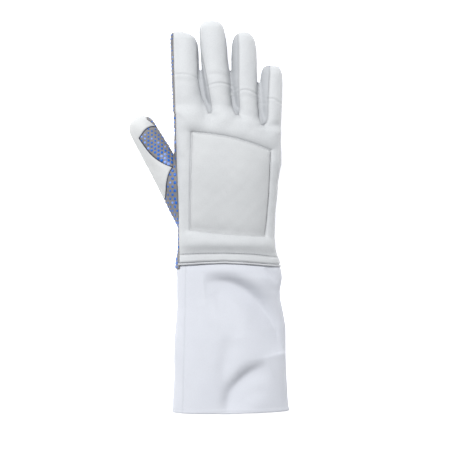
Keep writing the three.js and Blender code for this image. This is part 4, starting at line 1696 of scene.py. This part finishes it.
@dataclass
class Trim:
    """Piping, bindings, stitches and the raised dots of the grip fabric."""

    tailor: Tailor
    zones: Zones
    wardrobe: Wardrobe
    piping_line: Plan = ((-60.0, -1.0), (-44.0, -0.2), (-22.0, 1.2), (-1.0, 1.9), (22.0, 0.8),
                         (49.4, -1.6), (60.0, -2.2))
    piping_radius: float = 0.95
    piping_lift: float = 0.1
    piping_from: float = 3.0
    piping_points: int = 81
    piping_sides: int = 10
    piping_left: float = -45.0
    piping_low: float = 21.0
    binding_radius: float = 0.42
    binding_lift: float = 0.1
    binding_step: float = 1.2
    stitch_length: float = 1.5
    stitch_radius: float = 0.26
    stitch_lift: float = 0.12
    stitch_step: float = 2.4
    stitch_ahead: float = 0.9
    stitch_reach: float = 46.0
    trim_sides: int = 6
    dot_step: float = 4.4
    fine_step: float = 3.7
    dot_height: float = 0.36
    dot_radii: tuple[float, float] = (0.8, 1.75)
    highlight_reach: float = 6.5
    dot_facing: float = 0.42
    dot_gap: float = 3.3
    dot_rings: tuple[tuple[float, float], ...] = ((1.0, -0.6), (1.0, 0.25), (0.8, 0.75), (0.4, 1.0))
    dot_sides: int = 10
    dot_centre: tuple[float, float, float] = (0.0, 100.0, 20.0)
    dot_seam: float = 0.2
    thumb_x: float = -50.0
    thumb_y: float = 92.0
    thumb_run: float = 40.0
    edge_x: float = -46.5
    edge_z: float = 10.0
    edge_run: float = 11.0
    swell: tuple[float, float, float] = (0.13, 0.075, 2.4)
    swell_power: float = 0.8
    pale_every: int = 9
    pale_start: int = 2

    def surface(self) -> BVHTree:
        """A tree of every sewn skin, for laying trim on the surface.

        Returns:
            The tree.
        """
        points, faces = [], []
        for mesh in self.tailor.skins.values():
            base = len(points)
            points.extend(vert.co.copy() for vert in mesh.vertices)
            faces.extend([base + i for i in face.vertices] for face in mesh.polygons)
        return BVHTree.FromPolygons(points, faces)

    def lay(self, tree: BVHTree, path: Plan, lift: float, step: float = 1.0) -> list[Vector]:
        """Lays a plan path on the surface, from above.

        Args:
            tree: The surface.
            path: The plan path.
            lift: How far above the surface the points stand.
            step: The distance between points.

        Returns:
            The points.
        """
        route = []
        for point in resample([Vector(p) for p in path], step):
            hit, normal, _, _ = tree.ray_cast(Vector((point.x, point.y, FAR)), Vector((0, 0, -1)))
            if hit is not None:
                route.append(hit + normal * lift)
        return route

    def closed_piece(self, bm: bmesh.types.BMesh, name: str, finish: str, slot: Slot) -> bpy.types.Object:
        """Finishes a piece whose mesh is already closed.

        Args:
            bm: The piece's bmesh, which is freed.
            name: The piece's name.
            finish: The finish's name.
            slot: The record's slot.

        Returns:
            The piece.
        """
        made = self.tailor.finish(mesh_from(bm, name), name)
        self.wardrobe.dress(made, finish, slot)
        LOG.info("%s: %d faces", name, len(made.data.polygons))
        return made

    def build(self) -> None:
        """Makes all the trim."""
        tree = self.surface()
        self.build_piping()
        self.build_binding(tree)
        self.build_stitches(tree)
        self.build_dots()

    def build_piping(self) -> None:
        """The round piping between the band and the cuff, over the back of the wrist."""
        xs, ys = np.array(self.piping_line).T
        around = self.tailor.form.place(0.0, self.piping_lift)
        route = []
        for k in range(self.piping_points):
            share = k / (self.piping_points - 1)
            angle = math.radians(self.piping_from + (180.0 - 2.0 * self.piping_from) * share)
            point = around(math.cos(angle), math.sin(angle))
            point.y = float(np.interp(point.x, xs, ys))
            if point.x > self.piping_left and point.z > self.piping_low:
                route.append(point)
        bm = bmesh.new()
        sweep_tube(bm, route, self.piping_radius, self.piping_sides)
        made = self.closed_piece(bm, "wrist_piping_cord", "piping", Slot.PIPING)
        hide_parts("wrist_piping")

    def build_binding(self, tree: BVHTree) -> None:
        """The dark binding along the edges of the grip fabric beside the thumb.

        Args:
            tree: The surface that it lies on.
        """
        bm = bmesh.new()
        corner = self.zones.patch_corner
        patch, thenar = self.zones.patch, self.zones.thenar
        for path in (patch[:corner + 1], patch[corner:], thenar[:-1]):
            route = self.lay(tree, smooth_path(path), self.binding_lift, self.binding_step)
            if len(route) > 2:
                sweep_tube(bm, route, self.binding_radius, self.trim_sides)
        self.closed_piece(bm, "edge_binding", "binding", Slot.GRIP)

    def build_stitches(self, tree: BVHTree) -> None:
        """Short stitches along the top of the wrist band.

        Args:
            tree: The surface that they lie on.
        """
        bm = bmesh.new()
        line = [(x, y + self.stitch_ahead) for x, y in self.zones.band_top if abs(x) < self.stitch_reach]
        route = self.lay(tree, smooth_path(line), self.stitch_lift, self.stitch_step)
        for a, b in zip(route, route[1:]):
            half = (b - a).normalized() * 0.5 * self.stitch_length
            middle = (a + b) * 0.5
            sweep_tube(bm, [middle - half, middle, middle + half], self.stitch_radius, self.trim_sides)
        self.closed_piece(bm, "wrist_stitches", "thread", Slot.BACK)

    def dot_template(self) -> bmesh.types.BMesh:
        """One raised dot of unit radius and height: a low dome on +Z.

        Returns:
            The dot's bmesh.
        """
        bm = bmesh.new()
        rings = [lambda x, y, r=r, z=z: Vector((x * r, y * r, z)) for r, z in self.dot_rings]
        add_loft(bm, rings, self.dot_sides)
        return bm

    def grip_tree(self) -> tuple[BVHTree, KDTree, list[float]]:
        """The grip fabric's faces, its vertices, and each vertex's nearness to a seam.

        Returns:
            A tree of the faces, a tree of the vertices, and the nearness of each vertex.
        """
        points, faces, near = [], [], []
        for name, mesh in self.tailor.skins.items():
            if not name.endswith("_front") and name not in ("palm", "thumb_grip"):
                continue
            base = len(points)
            points.extend(vert.co.copy() for vert in mesh.vertices)
            faces.extend([base + i for i in face.vertices] for face in mesh.polygons)
            near.extend(value.value for value in mesh.attributes["seam"].data)
        corners = KDTree(len(points))
        for i, point in enumerate(points):
            corners.insert(point, i)
        corners.balance()
        return BVHTree.FromPolygons(points, faces), corners, near

    def dot_spots(self) -> list[tuple[Vector, Vector, float]]:
        """Where the dots stand: point, normal and radius, in staggered rows seen from six ways.

        Returns:
            The spots.
        """
        tree, corners, near = self.grip_tree()
        thumb = self.tailor.form.thumb
        across, along, up = Vector((1, 0, 0)), Vector((0, 1, 0)), Vector((0, 0, 1))
        looks = (
            (thumb.sideways, thumb.ahead, -up, self.fine_step),
            (across, along, -up, self.dot_step),
            (across, along, up, self.dot_step),
            (up, along, across, self.dot_step),
            (up, along, -across, self.dot_step),
            (across, up, -along, self.dot_step),
        )
        centre = Vector(self.dot_centre)
        spots = []
        for side, ahead, way, step in looks:
            rows = round(FAR / step)
            for row in range(-rows // 2, rows // 2):
                for col in range(-rows // 2, rows // 2):
                    start = side * ((col + 0.5 * (row % 2)) * step)
                    start += ahead * (row * step * math.sqrt(0.75))
                    hit, normal, _, _ = tree.ray_cast(centre + start - way * FAR, way)
                    if hit is None or -normal.dot(way) < self.dot_facing:
                        continue
                    on_thumb = hit.x < self.thumb_x and hit.y > self.thumb_y
                    if on_thumb != (step == self.fine_step) and way.z < -0.5:
                        continue
                    if near[corners.find(hit)[1]] < self.dot_seam:
                        spots.append((hit, normal, self.dot_radius(hit)))
        return spots

    def dot_radius(self, point: Vector) -> float:
        """A dot's radius, which shrinks towards the thumb's tip and swells in broad bands elsewhere.

        Args:
            point: The dot's place.

        Returns:
            The radius.
        """
        small, large = self.dot_radii
        if point.x < self.thumb_x and point.y > self.thumb_y:
            share = min(1.0, (point.y - self.thumb_y) / self.thumb_run)
        else:
            over_x, over_y, start = self.swell
            share = 0.5 + 0.5 * math.sin(point.x * over_x + point.y * over_y + start)
        if point.x < self.edge_x and point.y < self.thumb_y and point.z > self.edge_z:
            share = min(1.0, max(0.0, (self.edge_x - point.x) / self.edge_run))
        return large + (small - large) * share ** self.swell_power

    def build_dots(self) -> None:
        """The raised rubber dots, as one joined mesh for each colour; the paler mesh holds painted
        highlights near the thumb patch's edge and randomly paler dots.
        """
        template = mesh_from(self.dot_template(), "dot")
        kept: list[tuple[Vector, Vector, float]] = []
        grid: dict[tuple[int, int, int], list[Vector]] = {}
        for spot in self.dot_spots():
            cell = tuple(int(c // self.dot_step) for c in spot[0])
            close = [p for dx in (-1, 0, 1) for dy in (-1, 0, 1) for dz in (-1, 0, 1)
                     for p in grid.get((cell[0] + dx, cell[1] + dy, cell[2] + dz), [])]
            if all((p - spot[0]).length > self.dot_gap for p in close):
                grid.setdefault(cell, []).append(spot[0])
                kept.append(spot)
        edge = self.zones.patch[:self.zones.patch_corner + 1]
        edge_gaps = path_gap(np.array([spot[0] for spot in kept]), edge)[0]
        for name, finish, pale in (("grip_dots", "dots", False), ("pale_and_highlight_dots", "pale_and_highlight_dots", True)):
            bm = bmesh.new()
            for i, (point, normal, radius) in enumerate(kept):
                # Painted highlight: every other dot near the thumb patch's lower-left edge takes the paler
                # finish; every ninth dot is paler at random.
                highlight_near_edge = point.x < self.thumb_x and edge_gaps[i] < self.highlight_reach and i % 2 == 0
                if (highlight_near_edge or i % self.pale_every == self.pale_start) != pale:
                    continue
                before = len(bm.verts)
                bm.from_mesh(template)
                bm.verts.ensure_lookup_table()
                turn = normal.to_track_quat("Z", "Y").to_matrix().to_4x4()
                size = Matrix.Diagonal((radius, radius, self.dot_height, 1.0))
                matrix = Matrix.Translation(point) @ turn @ size
                bmesh.ops.transform(bm, matrix=matrix, verts=bm.verts[before:])
            self.closed_piece(bm, name, finish, Slot.GRIP)


@dataclass
class Cuff:
    """The long cloth cuff: a flattened tube with its folds, hem and side seam."""

    tailor: Tailor
    wardrobe: Wardrobe
    rows: tuple[CuffRow, ...] = (
        CuffRow(-140.2, -50.4, 59.6, 55.6),
        CuffRow(-128, -50.2, 58.5, 55),
        CuffRow(-110, -49.5, 57.6, 54.2),
        CuffRow(-88, -49.3, 56.8, 53),
        CuffRow(-70, -48.9, 56.5, 51.4),
        CuffRow(-59, -47.8, 56.4, 50.2),
        CuffRow(-50, -47.4, 55, 49.2),
        CuffRow(-42, -46.7, 53.6, 48.2),
        CuffRow(-33, -46.6, 51.7, 47.2),
        CuffRow(-24.7, -46.6, 51.3, 46.6),
        CuffRow(-13.3, -46.6, 53.2, 46),
        CuffRow(-6, -47, 52.2, 45.2),
        CuffRow(0.5, -46.4, 50.2, 43.8),
        CuffRow(8, -45, 46.4, 42.4),
    )
    folds: tuple[Crease, ...] = (
        Crease(((-21, -18.5), (-8, -16.8), (6.0, -18.8), (21.6, -26.8), (34.6, -38.4), (44.6, -52),
                (51, -68), (54, -84)), 9.6, 7.0, 0.5, 0.7, 19.0),
        Crease(((-12, -26), (-5, -38), (5.7, -52), (12, -68)), 1.4, 6.5, 0.3),
        Crease(((3.5, -66), (-0.6, -90), (-1.5, -124)), 2.4, 7.0, 0.4, 1.2),
        Crease(((1.8, -143), (2.6, -131), (5.4, -120), (12, -111.5), (23, -102.5), (40, -95)),
                6.2, 6.6, 0.3, 0.8, 14.0),
        Crease(((37, -2.5), (43, -8.0), (49.5, -17)), 1.5, 3.2, 0.3),
        Crease(((-31, -14), (-34, -60), (-31, -110)), 0.7, 9.0, 0.2),
        Crease(((22, -52), (38, -72), (48, -96)), 0.6, 9.0, 0.2),
        Crease(((-24, -40), (-14, -62), (-12, -92)), 0.8, 8.0, 0.2),
        Crease(((14, -134), (24, -122), (40, -118)), 0.9, 6.0, 0.2),
    )
    segments: int = 260
    step: float = 1.15
    wall: float = 1.3
    squareness: float = 2.2
    press: float = 2.0
    hem: float = 3.2
    hem_step: float = 0.35
    hem_line: float = 0.5
    hem_shade: float = 0.7
    top_gain: float = 1.5
    ridge_place: float = 2.1
    ripple: float = 0.16
    seam_x: float = -38.0
    seam_lean: float = 0.02
    seam_width: float = 0.7
    seam_depth: float = 0.3
    seam_shade: float = 0.5
    skew: float = 1.8
    skew_from: float = -100.0
    skew_run: float = 40.0
    skew_left: float = -50.0
    skew_width: float = 110.0
    quick_step: float = 1.8
    flat_width: float = 0.276
    flat_length: float = 0.152

    def place(self, y: float) -> Place:
        """The function that puts a unit circle on the cuff's section.

        Args:
            y: The section's place.

        Returns:
            A function from a point of the unit circle to its place.
        """
        left, right, top = (look_up(self.rows, name, y) for name in ("left", "right", "top"))

        def put(x: float, z: float) -> Vector:
            """Puts one point of the circle."""
            across, up = power_ring(x, z, self.squareness)
            side = 0.5 * (left + right) + across * 0.5 * (right - left)
            height = 0.5 * top + up * (0.5 * top + (self.press if up < 0 else 0.0))
            return Vector((side, y, max(height, 0.0)))

        return put

    def shape(self, mesh: bpy.types.Mesh) -> None:
        """Presses the folds, the hem and the side seam into the tube, and keeps a painted shade along the
        side seam and the hem line.

        Args:
            mesh: The tube's mesh, which is changed.
        """
        points, normals = read_points(mesh), read_normals(mesh)
        up = np.clip(normals[:, 2] * self.top_gain, 0.0, 1.0)
        offset = press(points, self.folds, self.ridge_place) * up
        x, y, z = points.T.copy()
        hem = self.rows[0].y + self.hem
        offset += np.where(y < hem, self.hem_step, 0.0)
        offset += self.ripple * np.sin(y * 0.11 + 0.7 * np.sin(x * 0.09)) * np.cos(x * 0.13 + z * 0.11)
        seam = np.exp(-(((x - self.seam_x - self.seam_lean * y) / self.seam_width) ** 2)) * up
        offset -= self.seam_depth * seam
        points += normals * offset[:, None]
        points[:, 2] = np.maximum(points[:, 2], 0.0)
        slant = (points[:, 0] - self.skew_left) / self.skew_width
        near_hem = np.clip((self.skew_from - points[:, 1]) / self.skew_run, 0.0, 1.0)
        points[:, 1] += near_hem * self.skew * slant
        write_points(mesh, points)
        # Painted shade along the hem line and the side seam, kept in the seam layer that the finish
        # darkens by.
        hem_line = np.exp(-(((points[:, 1] - hem) / self.hem_line) ** 2))
        dark = np.clip(seam * self.seam_shade + hem_line * self.hem_shade, 0.0, 1.0)
        mesh.attributes.new("seam", "FLOAT", "POINT").data.foreach_set("value", dark.astype(np.float32))

    def build(self) -> None:
        """Makes the cuff, presses its folds and gives it a wall."""
        low, high = self.rows[0].y, self.rows[-1].y
        count = round((high - low) / (self.step * 1.0))
        stops = np.linspace(low, high, count)
        bm = bmesh.new()
        segments = self.segments
        add_loft(bm, [self.place(float(y)) for y in stops], segments, capped=False)
        mesh = mesh_from(bm, "cuff_tube")
        self.shape(mesh)
        made = self.tailor.finish(mesh, "cuff_cloth_tube", wall=self.wall)
        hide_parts("cuff")
        self.wardrobe.dress(made, "cuff", Slot.CUFF)
        LOG.info("cuff: %d faces", len(made.data.polygons))


@dataclass(frozen=True)
class Lamp:
    """A square soft lamp: its place and side in metres, and its power in watts."""

    name: str
    place: tuple[float, float, float]
    side: float
    power: float


@dataclass(frozen=True)
class Studio:
    """The pale floor, the soft light and the camera."""

    photo_width_mm: float = 429.4
    photo_centre: tuple[float, float] = (0.0, 36.1)
    camera_height: float = 1.9
    subject_height: float = 0.024
    sensor: float = 36.0
    far_clip: float = 10.0
    floor_half: float = 4.0
    floor_white: float = 0.95
    floor_glow: float = 0.8
    floor_roughness: float = 0.9
    floor_specular: float = 0.1
    sky_colour: Colour = (0.96, 0.98, 1.0)
    sky_strength: float = 0.25
    lamps: tuple[Lamp, ...] = (
        Lamp("key", (-0.78, 1.68, 2.98), 1.1, 134.0),
        Lamp("fill", (1.2, -0.6, 1.3), 1.6, 2.0),
    )
    aim: tuple[float, float, float] = (0.0, 0.0, 0.02)

    def build(self, shift: Vector, floor: float) -> None:
        """Sets up floor, light and camera.

        Args:
            shift: The glove's frame in the row frame, in millimetres.
            floor: The floor's height in metres.
        """
        self.build_floor(floor)
        self.build_lights()
        eye = bpy.data.cameras.new("eye")
        eye.sensor_width = self.sensor
        eye.lens = self.sensor * (self.camera_height - self.subject_height) / (self.photo_width_mm * MM)
        eye.clip_end = self.far_clip
        camera = bpy.data.objects.new("eye", eye)
        x, y = self.photo_centre
        camera.location = ((x + shift.x) * MM, (y + shift.y) * MM, self.camera_height)
        bpy.context.scene.collection.objects.link(camera)
        bpy.context.scene.camera = camera

    def build_floor(self, height: float) -> None:
        """A wide pale floor.

        Args:
            height: The floor's height in metres.
        """
        bm = bmesh.new()
        bmesh.ops.create_grid(bm, x_segments=1, y_segments=1, size=self.floor_half)
        bmesh.ops.translate(bm, verts=bm.verts[:], vec=Vector((0, 0, height)))
        floor = bpy.data.objects.new("floor", mesh_from(bm, "floor"))
        bpy.context.scene.collection.objects.link(floor)
        paint = bpy.data.materials.new("floor_paint")
        paint.use_nodes = True
        shader = paint.node_tree.nodes["Principled BSDF"]
        shader.inputs["Base Color"].default_value = (*[self.floor_white] * 3, 1.0)
        shader.inputs["Roughness"].default_value = self.floor_roughness
        shader.inputs["Emission Color"].default_value = (1.0, 1.0, 1.0, 1.0)
        shader.inputs["Emission Strength"].default_value = self.floor_glow
        shader.inputs["Specular IOR Level"].default_value = self.floor_specular
        floor.data.materials.append(paint)
        floor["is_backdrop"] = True

    def build_lights(self) -> None:
        """A bright even sky and two wide soft lamps."""
        world = bpy.data.worlds.new("sky")
        world.use_nodes = True
        sky = world.node_tree.nodes["Background"]
        sky.inputs["Color"].default_value = (*self.sky_colour, 1.0)
        sky.inputs["Strength"].default_value = self.sky_strength
        bpy.context.scene.world = world
        for each in self.lamps:
            lamp = bpy.data.lights.new(each.name, "AREA")
            lamp.size = each.side
            lamp.energy = each.power
            light = bpy.data.objects.new(each.name, lamp)
            light.location = each.place
            way = Vector(self.aim) - Vector(each.place)
            light.rotation_euler = way.to_track_quat("-Z", "Y").to_euler()
            bpy.context.scene.collection.objects.link(light)
        view = bpy.context.scene.view_settings
        view.view_transform = "Standard"
        view.look = "None"


def glove_shift() -> Vector:
    """The place of the glove's own frame in the row frame, in millimetres, read from the cuff's box.

    Returns:
        The shift to add to a point of the glove's frame.
    """
    low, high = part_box("cuff")
    return Vector((high[0] / MM - CUFF_RIGHT, low[1] / MM - CUFF_HEM, 0.0))


def main() -> None:
    """Builds the glove's pieces in order."""
    logging.basicConfig(level=logging.INFO, format="%(name)s: %(message)s")
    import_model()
    shift = glove_shift()
    form = HandForm()
    tailor = Tailor(form=form, skin=form.build(), shift=shift)
    LOG.info("form: %d faces", len(tailor.skin.polygons))
    zones = Zones(form=form)
    wardrobe = Wardrobe()
    Hand(tailor, zones, wardrobe).build()
    Trim(tailor, zones, wardrobe).build()
    Cuff(tailor, wardrobe).build()
    seen_box = [list(map(float, corner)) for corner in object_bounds()]
    Studio().build(shift, min(0.0, seen_box[0][2]))


if __name__ == "__main__":
    main()
